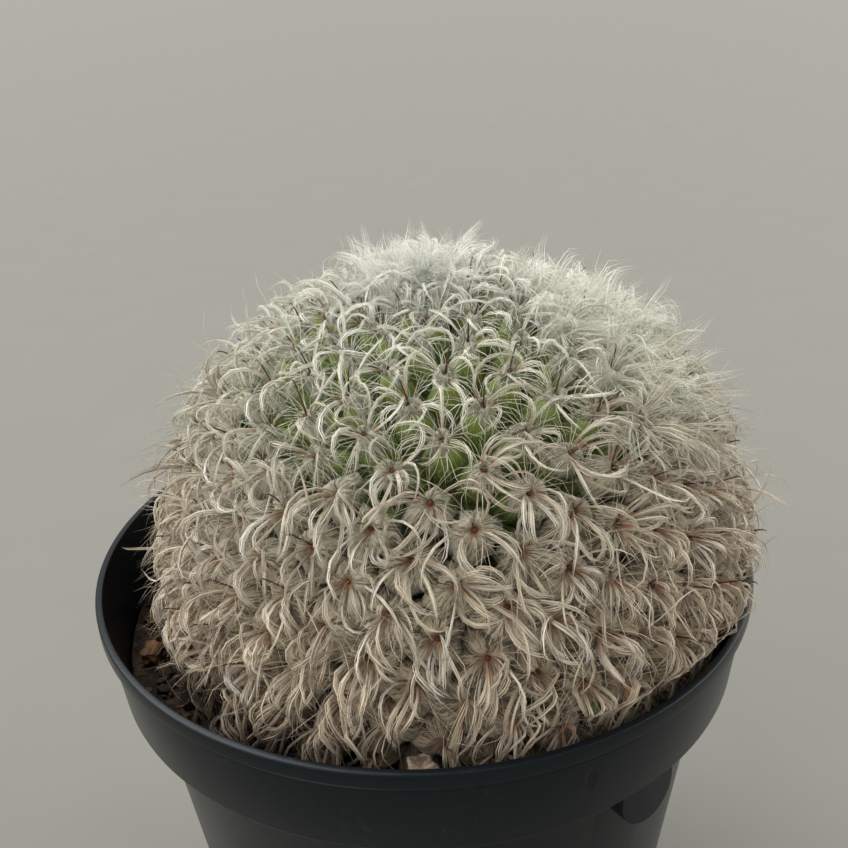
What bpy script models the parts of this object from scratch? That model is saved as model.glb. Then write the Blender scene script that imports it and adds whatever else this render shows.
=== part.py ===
"""Potted powder puff cactus.

A round, woolly cactus stands off centre in a thin black nursery pot. Its stem is covered in small
tubercles, and each tubercle ends in a star of curved woolly locks, some with a hooked spine. Bark and
grit lie on the soil round it. Lengths are in metres, +Z is up, -Y is the side that is seen from the
front, and the origin is the middle of the pot's foot on the surface that the pot stands on.
"""

import math
import random

import bmesh
import bpy
from mathutils import Matrix, Vector, noise
from mathutils.bvhtree import BVHTree
from mathutils.geometry import delaunay_2d_cdt

# Gap between pieces that touch
GAP = 0.0003

# Pot
RIM_HEIGHT = 0.0800
RIM_RADIUS = 0.0450
LIP_HEIGHT = 0.0021
LIP_WIDTH = 0.0014
BAND_HEIGHT = 0.0129
BAND_TOP_RADIUS = 0.0442
BAND_FOOT_RADIUS = 0.0433
BODY_TOP_RADIUS = 0.0400
BODY_FOOT_RADIUS = 0.0320
WALL = 0.0012
FLOOR_THICKNESS = 0.0016
FOOT_RECESS = 0.0015
FOOT_WIDTH = 0.0030
FOOT_SLOPE = 0.0008
EDGE = 0.0004
LEDGE_SLOPE = 0.0007
POT_SIDES = 64
LUG_AZIMUTHS = (-54.5, 65.5, 185.5)
LUG_HALF_WIDTH = 0.0042
LUG_DROP = 0.0054
DRAIN_COUNT = 5
DRAIN_RADIUS = 0.0030
DRAIN_RING_RADIUS = 0.0200
DRAIN_FIRST_AZIMUTH = 36.0
BAND_FOOT_HEIGHT = RIM_HEIGHT - BAND_HEIGHT
LEDGE_HEIGHT = BAND_FOOT_HEIGHT + WALL
FLOOR_HEIGHT = FOOT_RECESS + FLOOR_THICKNESS

# Cactus: the stem's skin between its tubercles, their tips, and the reach of the locks
PLANT_CENTRE = Vector((0.0045, -0.0020, RIM_HEIGHT))
STEM_RADIUS = 0.0308
STEM_HEIGHT = 0.0328
TUBERCLE_LIFT = 0.0050
LOCK_LIFT = 0.0103
AREOLES = 206
LOWEST_AREOLE = 103.0
LOWEST_GUARD = 128.0
CROWN_CROWDING = 2.2
CROWN_ANGLE = 24.0
GOLDEN_ANGLE = math.pi * (3.0 - math.sqrt(5.0))
SKIN_UNEVEN = 0.0004
HEART_DEPTH = 0.0004
HOOKED_EVERY = 3
NECK_RADIUS = 0.0272
NECK_FOOT_RADIUS = 0.0225

# How the locks lean: down under their weight, and in swirls a few tubercles wide
DROOP = 0.085
SWIRL = 0.060
SWIRLS_PER_RADIUS = 2.6
SWIRL_LAYERS = (0.0, 11.3, 23.7)
LEAN_POWER = 1.5
WALL_EASE = 0.0028
SOIL_EASE = 0.0016
RIM_FLARE = 1.2

# Shares of the way from a tubercle's heart to the corners between its neighbours, and of the locks' lift
TUBERCLE_SHARE = 0.38
LOCK_MIDDLE = (0.48, 0.17, 0.72)
LOCK_TIP_REACH = (0.86, 0.97)
SHORT_LOCK_REACH = (0.62, 0.80)
SHORT_LOCK_LIFT = 0.42
HOOK_LOW = (0.34, 0.13, 0.45)
HOOK_HIGH = (0.42, 0.11, 1.02)
HOOK_TIP = (0.88, 1.04)
HOOK_LEAN = 0.0005
LOCK_THICKNESS = 0.0008
VIGOUR = (0.82, 1.18)
FULL_CELL = 0.122

# Soil
SOIL_HEIGHT = 0.0694
SOIL_RELIEF = 0.0006
SOIL_MOUND = 0.0091
SOIL_LUMP = 0.0033
NECK_DEPTH = 0.0085
SOIL_SIDES = 48
SOIL_RINGS = 4

# Loose pieces on the soil: azimuth and radius from the pot's axis, half sizes, turn
CHIP_UNEVEN = 0.30
CHIP_FACETS = 1.7
BARK_CHIPS = (
    ("bark_chip_1", 184.0, 0.0380, (0.0030, 0.0018, 0.0008), 50.0),
    ("bark_chip_2", 196.5, 0.0390, (0.0018, 0.0014, 0.0010), 80.0),
    ("bark_chip_3", 172.0, 0.0375, (0.0024, 0.0013, 0.0008), 110.0),
    ("bark_chip_4", 226.0, 0.0398, (0.0019, 0.0011, 0.0007), 316.0),
)
GRIT = (
    ("grit_1", 274.0, 0.0398, (0.0018, 0.0010, 0.0009), 4.0),
    ("grit_2", 138.0, 0.0375, (0.0014, 0.0012, 0.0010), 60.0),
)


def clear_scene():
    """Remove what the scene holds."""
    for item in list(bpy.data.objects):
        bpy.data.objects.remove(item, do_unlink=True)


def material(name, colour, roughness):
    """A Principled material with one colour."""
    made = bpy.data.materials.new(name)
    made.use_nodes = True
    shader = made.node_tree.nodes["Principled BSDF"]
    shader.inputs["Base Color"].default_value = (*colour, 1.0)
    shader.inputs["Roughness"].default_value = roughness
    shader.inputs["Metallic"].default_value = 0.0
    return made


def add_object(name, mesh, finish=None):
    """Link a mesh into the scene as an object."""
    made = bpy.data.objects.new(name, mesh)
    bpy.context.collection.objects.link(made)
    if finish:
        mesh.materials.append(finish)
    return made


def mesh_from(name, points, faces):
    """A triangulated mesh from points and outward faces."""
    mesh = bpy.data.meshes.new(name)
    mesh.from_pydata([tuple(point) for point in points], [], faces)
    shape = bmesh.new()
    shape.from_mesh(mesh)
    bmesh.ops.triangulate(shape, faces=shape.faces[:])
    bmesh.ops.recalc_face_normals(shape, faces=shape.faces[:])
    shape.to_mesh(mesh)
    shape.free()
    return mesh


def ring(centre, radius, height, sides):
    """Points evenly round a level circle."""
    angles = [2.0 * math.pi * index / sides for index in range(sides)]
    return [
        Vector((centre[0] + radius * math.cos(angle), centre[1] + radius * math.sin(angle), height))
        for angle in angles
    ]


def loft(rings, close_top=False, close_bottom=False):
    """Points and faces of a skin drawn through rings of equal count, top ring first."""
    sides = len(rings[0])
    points = [point for loop in rings for point in loop]
    faces = []
    for level in range(len(rings) - 1):
        upper = level * sides
        lower = upper + sides
        for index in range(sides):
            following = (index + 1) % sides
            faces.append((upper + index, lower + index, lower + following, upper + following))
    if close_top:
        faces.append(tuple(range(sides)))
    if close_bottom:
        last = (len(rings) - 1) * sides
        faces.append(tuple(last + index for index in reversed(range(sides))))
    return points, faces


def between(low, high, share):
    """The value a share of the way from low to high."""
    return low + (high - low) * share


def inner_radius(height):
    """The pot's inner radius at a height above the surface that it stands on."""
    if height >= LEDGE_HEIGHT:
        share = (height - LEDGE_HEIGHT) / (RIM_HEIGHT - LEDGE_HEIGHT)
        return between(BAND_FOOT_RADIUS, BAND_TOP_RADIUS, share) - WALL
    share = height / BAND_FOOT_HEIGHT
    return between(BODY_FOOT_RADIUS, BODY_TOP_RADIUS, share) - WALL


def pot_profile():
    """The wall's outline: inner floor, inner side, lip, outer side, foot and recess."""
    foot_inside = BODY_FOOT_RADIUS - FOOT_WIDTH
    under_ledge = LEDGE_HEIGHT - LEDGE_SLOPE
    return [
        (0.0, FLOOR_HEIGHT),
        (inner_radius(FLOOR_HEIGHT), FLOOR_HEIGHT),
        (inner_radius(under_ledge), under_ledge),
        (inner_radius(LEDGE_HEIGHT), LEDGE_HEIGHT),
        (RIM_RADIUS - LIP_WIDTH - 0.5 * EDGE, RIM_HEIGHT - EDGE),
        (RIM_RADIUS - LIP_WIDTH, RIM_HEIGHT),
        (RIM_RADIUS - EDGE, RIM_HEIGHT),
        (RIM_RADIUS, RIM_HEIGHT - EDGE),
        (RIM_RADIUS, RIM_HEIGHT - LIP_HEIGHT + EDGE),
        (BAND_TOP_RADIUS, RIM_HEIGHT - LIP_HEIGHT - EDGE),
        (BAND_FOOT_RADIUS, BAND_FOOT_HEIGHT + EDGE),
        (BAND_FOOT_RADIUS - EDGE, BAND_FOOT_HEIGHT),
        (BODY_TOP_RADIUS, BAND_FOOT_HEIGHT - EDGE),
        (BODY_FOOT_RADIUS, 2.0 * EDGE),
        (BODY_FOOT_RADIUS - EDGE, 0.0),
        (foot_inside, 0.0),
        (foot_inside - FOOT_SLOPE, FOOT_RECESS),
        (0.0, FOOT_RECESS),
    ]


def turned(name, profile, sides):
    """A body turned about the Z axis from an outline that starts and ends on it."""
    mesh = bpy.data.meshes.new(name)
    points = [(radius, 0.0, height) for radius, height in profile]
    edges = [(index, index + 1) for index in range(len(points) - 1)]
    mesh.from_pydata(points, edges, [])
    made = add_object(name, mesh)
    screw = made.modifiers.new("Turn", "SCREW")
    screw.steps = sides
    screw.render_steps = sides
    screw.use_merge_vertices = True
    screw.merge_threshold = 0.00005
    return made


def lug_tongue(azimuth):
    """A half-round tongue that hangs from the band, flush with it, at an azimuth in degrees."""
    inner = BODY_TOP_RADIUS - 0.75 * WALL
    outer = BAND_FOOT_RADIUS - 0.25 * EDGE
    top = BAND_FOOT_HEIGHT + EDGE
    arc_height = BAND_FOOT_HEIGHT - LUG_DROP + LUG_HALF_WIDTH
    outline = [(-LUG_HALF_WIDTH, top)]
    arc_steps = 8
    for step in range(arc_steps + 1):
        angle = math.pi + math.pi * step / arc_steps
        outline.append((LUG_HALF_WIDTH * math.cos(angle), arc_height + LUG_HALF_WIDTH * math.sin(angle)))
    outline.append((LUG_HALF_WIDTH, top))
    turn = Matrix.Rotation(math.radians(azimuth), 4, "Z")
    shape = bmesh.new()
    corners = [shape.verts.new(turn @ Vector((inner, side, height))) for side, height in outline]
    face = shape.faces.new(corners)
    extruded = bmesh.ops.extrude_face_region(shape, geom=[face])
    moved = [item for item in extruded["geom"] if isinstance(item, bmesh.types.BMVert)]
    bmesh.ops.translate(shape, verts=moved, vec=turn @ Vector((outer - inner, 0.0, 0.0)))
    bmesh.ops.recalc_face_normals(shape, faces=shape.faces[:])
    mesh = bpy.data.meshes.new("lug")
    shape.to_mesh(mesh)
    shape.free()
    return add_object("lug", mesh)


def drain_hole(number):
    """A round cutter through the pot's floor."""
    angle = math.radians(DRAIN_FIRST_AZIMUTH) + 2.0 * math.pi * number / DRAIN_COUNT
    place = Vector((math.cos(angle), math.sin(angle), 0.0)) * DRAIN_RING_RADIUS
    shape = bmesh.new()
    bmesh.ops.create_cone(
        shape,
        cap_ends=True,
        segments=12,
        radius1=DRAIN_RADIUS,
        radius2=DRAIN_RADIUS,
        depth=4.0 * FLOOR_HEIGHT,
        matrix=Matrix.Translation(place),
    )
    mesh = bpy.data.meshes.new("drain")
    shape.to_mesh(mesh)
    shape.free()
    return add_object("drain", mesh)


def combine(target, tools, operation):
    """Join the tools to the target, or cut them from it, and keep them as hidden guides."""
    for index, tool in enumerate(tools):
        tool.hide_render = True
        tool.display_type = "WIRE"
        step = target.modifiers.new(f"{operation.title()} {index}", "BOOLEAN")
        step.operation = operation
        step.object = tool


def make_pot():
    """The thin nursery pot with its lip, stepped band, three lugs and drain holes."""
    pot = turned("pot", pot_profile(), POT_SIDES)
    combine(pot, [lug_tongue(azimuth) for azimuth in LUG_AZIMUTHS], "UNION")
    combine(pot, [drain_hole(number) for number in range(DRAIN_COUNT)], "DIFFERENCE")
    pot.data.materials.append(material("pot plastic", (0.018, 0.020, 0.023), 0.42))
    return pot


def soil_surface(point):
    """The soil's height at a point: low mounds and hollows."""
    flat = Vector((point.x, point.y, 0.0))
    mounds = noise.noise(flat / SOIL_MOUND)
    lumps = noise.noise(flat / SOIL_LUMP + Vector((0.0, 0.0, 3.0)))
    return SOIL_HEIGHT + SOIL_RELIEF * (mounds + 0.5 * lumps)


def soil_rings():
    """Rings down the outside of the soil, under it, up its hole and out over its top."""
    hole = (PLANT_CENTRE.x, PLANT_CENTRE.y)
    axis = (0.0, 0.0)
    brim = ring(axis, inner_radius(SOIL_HEIGHT) - GAP, SOIL_HEIGHT, SOIL_SIDES)
    mouth = ring(hole, NECK_RADIUS + GAP, SOIL_HEIGHT, SOIL_SIDES)
    top = []
    for step in range(SOIL_RINGS + 1):
        share = step / SOIL_RINGS
        loop = [near.lerp(far, share) for near, far in zip(mouth, brim)]
        for point in loop:
            point.z = soil_surface(point)
        top.append(loop)
    ledge = LEDGE_HEIGHT + GAP
    below = LEDGE_HEIGHT - LEDGE_SLOPE
    base = FLOOR_HEIGHT + GAP
    pit = SOIL_HEIGHT - NECK_DEPTH - GAP
    outside = [
        ring(axis, inner_radius(LEDGE_HEIGHT) - GAP, ledge, SOIL_SIDES),
        ring(axis, inner_radius(below) - GAP, below + GAP, SOIL_SIDES),
        ring(axis, inner_radius(base) - GAP, base, SOIL_SIDES),
    ]
    inside = [ring(hole, NECK_FOOT_RADIUS + GAP, pit, SOIL_SIDES)]
    return outside, inside, top


def make_soil():
    """Potting soil that fills the pot, with a plain hole for the foot of the stem."""
    outside, inside, top = soil_rings()
    rings = inside + top + outside
    points, faces = loft(rings, close_top=True, close_bottom=True)
    mesh = mesh_from("soil", points, faces)
    return add_object("soil", mesh, material("potting soil", (0.060, 0.040, 0.027), 0.95))


def direction(polar, azimuth):
    """A unit vector from the angle down from straight up and the angle round."""
    return Vector(
        (math.sin(polar) * math.cos(azimuth), math.sin(polar) * math.sin(azimuth), math.cos(polar))
    )


def crowding(polar):
    """How much closer together the tubercles stand near the growing point."""
    return 1.0 + CROWN_CROWDING * math.exp(-((math.degrees(polar) / CROWN_ANGLE) ** 2))


def spiral_directions():
    """Directions of the tubercles, and of a few guards below them, along a golden-angle spiral."""
    steps = 1200
    stride = math.radians(LOWEST_GUARD) / steps
    heaped = [0.0]
    for step in range(steps):
        polar = (step + 0.5) * stride
        heaped.append(heaped[-1] + math.sin(polar) * crowding(polar) * stride)
    mark = round(steps * LOWEST_AREOLE / LOWEST_GUARD)
    each = heaped[mark] / AREOLES
    found = []
    step = 0
    while (len(found) + 0.5) * each < heaped[-1]:
        wanted = (len(found) + 0.5) * each
        while heaped[step + 1] < wanted:
            step += 1
        share = (wanted - heaped[step]) / (heaped[step + 1] - heaped[step])
        found.append(direction((step + share) * stride, len(found) * GOLDEN_ANGLE))
    return found


def stem_cells(towards):
    """Corners between neighbouring tubercles, and the ordered corner numbers round each tubercle.

    Seen from straight below, a sphere's closest-neighbour triangles are those of a flat plan.
    """
    plan = [Vector((place.x, place.y)) / (1.0 + place.z) for place in towards]
    triangles = delaunay_2d_cdt(plan, [], [], 0, 1e-9)[2]
    corners = []
    touching = [[] for _ in towards]
    for triangle in triangles:
        middle = sum((towards[number] for number in triangle), Vector())
        for number in triangle:
            touching[number].append(len(corners))
        corners.append(middle.normalized())
    rounds = []
    for axis, near in zip(towards[:AREOLES], touching):
        across = axis.orthogonal().normalized()
        along = axis.cross(across)
        angles = {corner: math.atan2(corners[corner].dot(along), corners[corner].dot(across)) for corner in near}
        rounds.append(sorted(near, key=angles.get))
    return corners, rounds


def comb(place, lift):
    """Lean a direction as the locks lean: down under their weight, and in slow swirls."""
    reach = max(0.0, lift - TUBERCLE_LIFT) / (LOCK_LIFT - TUBERCLE_LIFT)
    weight = reach**LEAN_POWER
    down = Vector((0.0, 0.0, -1.0))
    spot = place * SWIRLS_PER_RADIUS
    swirl = Vector([noise.noise(spot + Vector((0.0, 0.0, layer))) for layer in SWIRL_LAYERS])
    lean = DROOP * down + SWIRL * swirl
    lean -= lean.dot(place) * place
    return (place + weight * lean).normalized()


def squeeze(value, limit, width):
    """A value kept under a limit, eased over a width."""
    start = limit - width
    if value <= start:
        return value
    return limit - width * math.exp(-(value - start) / width)


def keep_inside(point):
    """Hold a point inside the pot's rim and above the soil."""
    point.z = -squeeze(-point.z, -(SOIL_HEIGHT + SOIL_RELIEF + GAP), SOIL_EASE)
    radius = math.hypot(point.x, point.y)
    above = max(0.0, point.z - RIM_HEIGHT - GAP)
    limit = inner_radius(min(point.z, RIM_HEIGHT)) - 2.0 * GAP + RIM_FLARE * above
    held = squeeze(radius, limit, WALL_EASE)
    point.x *= held / radius
    point.y *= held / radius
    return point


def on_plant(place, lift):
    """The point at a height over the stem's skin in a direction from the plant's centre."""
    leaning = comb(place, lift)
    across = STEM_RADIUS + lift
    upward = STEM_HEIGHT + lift
    offset = Vector((leaning.x * across, leaning.y * across, leaning.z * upward))
    return keep_inside(PLANT_CENTRE + offset)


class Skin:
    """Points and faces of the cactus as it grows."""

    def __init__(self):
        self.points = []
        self.faces = []

    def add(self, place, lift):
        """Add a point on the plant and give its number."""
        self.points.append(on_plant(place, lift))
        return len(self.points) - 1

    def wall(self, lower, upper):
        """Join two equal rings of point numbers by faces."""
        count = len(lower)
        for index in range(count):
            following = (index + 1) % count
            self.faces.append((lower[index], lower[following], upper[following], upper[index]))

    def tip(self, lower, point):
        """Close a ring of point numbers to one point."""
        count = len(lower)
        for index in range(count):
            self.faces.append((lower[index], lower[(index + 1) % count], point))


def lock_ring(skin, axis, towards, sides, shape, rise):
    """Three points round a lock: one on its inner side and two on its outer side."""
    reach, width, lift_share = shape
    lift = between(TUBERCLE_LIFT, LOCK_LIFT, lift_share)
    inner = axis.lerp(towards, reach - width)
    left = axis.lerp(towards.lerp(sides[0], width), reach + 0.5 * width)
    right = axis.lerp(towards.lerp(sides[1], width), reach + 0.5 * width)
    return [
        skin.add(inner.normalized(), lift + rise),
        skin.add(left.normalized(), lift),
        skin.add(right.normalized(), lift),
    ]


def lock_tip(skin, axis, towards, reach, lift_share):
    """The point of a lock."""
    lift = between(TUBERCLE_LIFT, LOCK_LIFT, lift_share)
    return skin.add(axis.lerp(towards, reach).normalized(), lift)


def grow_hook(skin, root, axis, towards, sides):
    """A hooked spine: straight up, then bent over at its tip."""
    low = lock_ring(skin, axis, towards, sides, HOOK_LOW, HOOK_LEAN)
    high = lock_ring(skin, axis, towards, sides, HOOK_HIGH, HOOK_LEAN)
    skin.wall(root, low)
    skin.wall(low, high)
    skin.tip(high, lock_tip(skin, axis, towards, *HOOK_TIP))


def grow_long_lock(skin, root, axis, towards, sides, vigour, draw):
    """A lock that rises and arches outwards."""
    reach, width, lift_share = LOCK_MIDDLE
    middle = lock_ring(skin, axis, towards, sides, (reach, width, lift_share * vigour), LOCK_THICKNESS)
    skin.wall(root, middle)
    skin.tip(middle, lock_tip(skin, axis, towards, draw.uniform(*LOCK_TIP_REACH), vigour))


def grow_star(skin, axis, corners, heart, rim, size, draw, hooked):
    """A star on a tubercle: long curved locks, short ones between them, and perhaps a hook."""
    count = len(corners)
    for index in range(count):
        following = (index + 1) % count
        root = [heart, rim[index], rim[following]]
        sides = (corners[index], corners[following])
        towards = ((sides[0] + sides[1]) / 2.0).normalized()
        vigour = draw.uniform(*VIGOUR) * size
        if hooked and index == 0:
            grow_hook(skin, root, axis, towards, sides)
        elif index % 2 == 0:
            grow_long_lock(skin, root, axis, towards, sides, vigour, draw)
        else:
            reach = draw.uniform(*SHORT_LOCK_REACH)
            skin.tip(root, lock_tip(skin, axis, towards, reach, SHORT_LOCK_LIFT * vigour))


def open_edge(rounds):
    """The corner numbers along the lower edge of the tubercles, in order."""
    sides = set()
    for cell in rounds:
        sides.update((corner, cell[(index + 1) % len(cell)]) for index, corner in enumerate(cell))
    edge = {start: end for start, end in sorted(sides) if (end, start) not in sides}
    first = min(edge)
    order = [first]
    while edge[order[-1]] != first:
        order.append(edge[order[-1]])
    return order


def add_neck(skin, edge):
    """Carry the stem's lower edge down to a foot that stands in the soil, and close it."""
    levels = (
        (NECK_RADIUS, SOIL_HEIGHT + SOIL_RELIEF),
        (NECK_FOOT_RADIUS, SOIL_HEIGHT - NECK_DEPTH),
    )
    upper = edge
    for radius, height in levels:
        lower = []
        for number in edge:
            flat = skin.points[number] - PLANT_CENTRE
            flat.z = 0.0
            place = PLANT_CENTRE + radius * flat.normalized()
            place.z = height
            skin.points.append(place)
            lower.append(len(skin.points) - 1)
        skin.wall(upper, lower)
        upper = lower
    skin.faces.append(tuple(upper))


def grow_tubercle(skin, axis, around, base, draw, hooked):
    """A tubercle from the corners at its base, with the star of locks on its tip."""
    spread = sum((corner - axis).length for corner in around) / len(around)
    size = min(1.0, spread / FULL_CELL)
    rim = [skin.add(axis.lerp(corner, TUBERCLE_SHARE).normalized(), TUBERCLE_LIFT) for corner in around]
    heart = skin.add(axis, TUBERCLE_LIFT - HEART_DEPTH)
    skin.wall(base, rim)
    grow_star(skin, axis, around, heart, rim, size, draw, hooked)


def make_cactus():
    """The stem, its tubercles, their locks and their hooked spines, as one closed body."""
    draw = random.Random(7)
    towards = spiral_directions()
    corners, rounds = stem_cells(towards)
    skin = Skin()
    numbers = {}
    for cell in rounds:
        for corner in cell:
            if corner not in numbers:
                numbers[corner] = skin.add(corners[corner], draw.uniform(-SKIN_UNEVEN, SKIN_UNEVEN))
    for index, cell in enumerate(rounds):
        around = [corners[corner] for corner in cell]
        base = [numbers[corner] for corner in cell]
        grow_tubercle(skin, towards[index], around, base, draw, index % HOOKED_EVERY == 1)
    add_neck(skin, [numbers[corner] for corner in open_edge(rounds)])
    mesh = mesh_from("cactus", skin.points, skin.faces)
    return add_object("cactus", mesh, material("cactus wool", (0.62, 0.56, 0.44), 0.85))


def make_chip(name, place, half_sizes, turn, finish, soil_tree, seed):
    """One angular chip, set down so that it just clears the soil under it."""
    shape = bmesh.new()
    bmesh.ops.create_icosphere(shape, subdivisions=2, radius=1.0)
    draw = random.Random(seed)
    shift = Vector((draw.uniform(0.0, 9.0), draw.uniform(0.0, 9.0), draw.uniform(0.0, 9.0)))
    spin = Matrix.Rotation(math.radians(turn), 3, "Z")
    for vertex in shape.verts:
        vertex.co *= 1.0 + CHIP_UNEVEN * noise.noise(vertex.co * CHIP_FACETS + shift)
        vertex.co = spin @ (vertex.co * Vector(half_sizes)) + place
    clearances = []
    for vertex in shape.verts:
        hit = soil_tree.ray_cast(vertex.co, Vector((0.0, 0.0, -1.0)))[0]
        clearances.append(vertex.co.z - hit.z)
    bmesh.ops.translate(shape, verts=shape.verts[:], vec=(0.0, 0.0, GAP - min(clearances)))
    bmesh.ops.recalc_face_normals(shape, faces=shape.faces[:])
    mesh = bpy.data.meshes.new(name)
    shape.to_mesh(mesh)
    shape.free()
    return add_object(name, mesh, finish)


def make_chips(soil):
    """Bark chips and grit lying loose on the soil."""
    bpy.context.view_layer.update()
    soil_tree = BVHTree.FromObject(soil, bpy.context.evaluated_depsgraph_get())
    groups = (
        (BARK_CHIPS, material("bark", (0.20, 0.115, 0.050), 0.9)),
        (GRIT, material("grit", (0.42, 0.27, 0.19), 0.9)),
    )
    seed = 1
    for pieces, finish in groups:
        for name, azimuth, radius, half_sizes, turn in pieces:
            angle = math.radians(azimuth)
            place = Vector((radius * math.cos(angle), radius * math.sin(angle), RIM_HEIGHT))
            make_chip(name, place, half_sizes, turn, finish, soil_tree, seed)
            seed += 1


def shade_round(item, angle):
    """Smooth shading with creases over an angle in degrees."""
    item.data.shade_smooth()
    item.data.set_sharp_from_angle(angle=math.radians(angle))


def main():
    """Build the potted cactus."""
    clear_scene()
    pot = make_pot()
    soil = make_soil()
    make_cactus()
    make_chips(soil)
    for item in (pot, soil):
        shade_round(item, 35.0)


main()
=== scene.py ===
# %% [markdown]
# # A powder puff cactus in a nursery pot
# A powder puff cactus is a green ball of small tubercles, and every tubercle ends in a star of silky
# wool with a brown heart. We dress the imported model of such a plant: its pot, its soil, its green stem
# and, above all, its wool. Lengths are in metres, +Z is up and the front of the plant looks along -Y.
#
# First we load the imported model. Its box is kept, because what we build has to stay that big.

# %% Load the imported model
import math

import bpy
import numpy as np
from mathutils import Matrix, Vector, noise


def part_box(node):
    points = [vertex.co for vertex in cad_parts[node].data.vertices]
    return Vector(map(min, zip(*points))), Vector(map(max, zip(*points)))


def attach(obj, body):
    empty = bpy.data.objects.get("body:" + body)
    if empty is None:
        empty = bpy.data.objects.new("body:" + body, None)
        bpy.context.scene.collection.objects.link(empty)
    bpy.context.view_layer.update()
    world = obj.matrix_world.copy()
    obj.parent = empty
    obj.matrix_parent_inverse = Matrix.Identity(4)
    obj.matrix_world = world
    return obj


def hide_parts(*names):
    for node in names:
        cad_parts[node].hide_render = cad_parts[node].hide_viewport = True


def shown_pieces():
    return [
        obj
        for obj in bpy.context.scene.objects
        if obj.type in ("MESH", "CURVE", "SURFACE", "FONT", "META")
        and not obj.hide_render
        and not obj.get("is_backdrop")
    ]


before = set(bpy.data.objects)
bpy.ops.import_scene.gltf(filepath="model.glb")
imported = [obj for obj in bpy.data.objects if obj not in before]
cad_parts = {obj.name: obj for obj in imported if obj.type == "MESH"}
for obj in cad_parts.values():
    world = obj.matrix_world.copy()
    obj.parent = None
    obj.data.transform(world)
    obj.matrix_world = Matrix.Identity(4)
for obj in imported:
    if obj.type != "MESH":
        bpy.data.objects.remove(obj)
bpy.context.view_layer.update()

print("nodes:", sorted(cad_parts))

# %% [markdown]
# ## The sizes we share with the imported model
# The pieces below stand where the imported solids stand, so these values are the solids' own: the pot's
# rim, band and foot, the soil's level, and the plant's centre and skin. Two of them differ a little: the
# lip is half a millimetre narrower, and the tubercles are one millimetre higher. The plant stands a
# little to the right of the pot's axis, as the real one does.

# %% Shared sizes
GAP = 0.0003
RIM_HEIGHT = 0.0800
RIM_RADIUS = 0.0450
LIP_HEIGHT = 0.0021
LIP_WIDTH = 0.0009
BAND_HEIGHT = 0.0129
BAND_TOP_RADIUS = 0.0442
BAND_FOOT_RADIUS = 0.0433
BODY_TOP_RADIUS = 0.0400
BODY_FOOT_RADIUS = 0.0320
WALL = 0.0012
FLOOR_HEIGHT = 0.0031
FOOT_RECESS = 0.0015
FOOT_WIDTH = 0.0030
BAND_FOOT_HEIGHT = RIM_HEIGHT - BAND_HEIGHT
LEDGE_HEIGHT = BAND_FOOT_HEIGHT + WALL
SOIL_HEIGHT = 0.0694
PLANT_CENTRE = np.array((0.0045, -0.0020, RIM_HEIGHT))
STEM_RADIUS = 0.0308
STEM_HEIGHT = 0.0328
STEM_SIZE = np.array((STEM_RADIUS, STEM_RADIUS, STEM_HEIGHT))
TUBERCLE_LIFT = 0.0060
DOWN = np.array((0.0, 0.0, -1.0))


def inner_radius(height):
    """The pot's inner radius at a height above the surface that it stands on."""
    if height >= LEDGE_HEIGHT:
        share = (height - LEDGE_HEIGHT) / (RIM_HEIGHT - LEDGE_HEIGHT)
        return BAND_FOOT_RADIUS + (BAND_TOP_RADIUS - BAND_FOOT_RADIUS) * share - WALL
    share = height / BAND_FOOT_HEIGHT
    return BODY_FOOT_RADIUS + (BODY_TOP_RADIUS - BODY_FOOT_RADIUS) * share - WALL


print("inner radius at the soil:", round(inner_radius(SOIL_HEIGHT), 5))

# %% [markdown]
# ## Helpers for modelling by hand
# An operator acts on whatever is selected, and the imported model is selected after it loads. So every
# step starts from a clean slate, and a finished piece gets its name, finish and place in one call.

# %% Helpers
def clean_slate():
    """Leave edit mode and select nothing."""
    if bpy.context.object and bpy.context.object.mode != "OBJECT":
        bpy.ops.object.mode_set(mode="OBJECT")
    bpy.ops.object.select_all(action="DESELECT")


def add(operator, **settings):
    """Run an operator that adds an object, with nothing else selected, and hand the object over."""
    clean_slate()
    operator(**settings)
    return bpy.context.object


def choose(*pieces):
    """Select pieces and nothing else. The last one is the active one."""
    clean_slate()
    for piece in pieces:
        piece.select_set(True)
    bpy.context.view_layer.objects.active = pieces[-1]


def edit(piece):
    """Select one piece, enter edit mode and select all of it."""
    choose(piece)
    bpy.ops.object.mode_set(mode="EDIT")
    bpy.ops.mesh.select_all(action="SELECT")


def done():
    """Leave edit mode."""
    bpy.ops.object.mode_set(mode="OBJECT")


def edit_where(piece, test):
    """Enter edit mode with only the points selected whose number and place pass a test."""
    edit(piece)
    bpy.ops.mesh.select_all(action="DESELECT")
    done()
    for index, vertex in enumerate(piece.data.vertices):
        vertex.select = test(index, vertex.co)
    bpy.ops.object.mode_set(mode="EDIT")


def cut_below(piece, height):
    """Cut away what lies under a height, and close the cut."""
    edit(piece)
    bpy.ops.mesh.bisect(plane_co=(0.0, 0.0, height), plane_no=(0.0, 0.0, -1.0), clear_outer=True)
    bpy.ops.mesh.edge_face_add()
    done()


def settle(piece):
    """Put a piece's place into its mesh, so that its object sits at the origin, unturned and unscaled."""
    choose(piece)
    bpy.ops.object.transform_apply(location=True, rotation=True, scale=True)


def triangles(piece):
    """How many triangles a piece has."""
    piece.data.calc_loop_triangles()
    return len(piece.data.loop_triangles)


def finish_piece(piece, name, finish, slot, *nodes, smooth=180.0):
    """Name a piece, give it its material and its shading, and set it on the body in place of nodes."""
    settle(piece)
    piece.name = name
    piece.data.name = name
    piece.data.materials.clear()
    piece.data.materials.append(finish)
    bpy.ops.object.shade_smooth_by_angle(angle=math.radians(smooth))
    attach(piece, "root")
    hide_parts(*nodes)
    print(name, triangles(piece), "triangles")
    return piece


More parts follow.
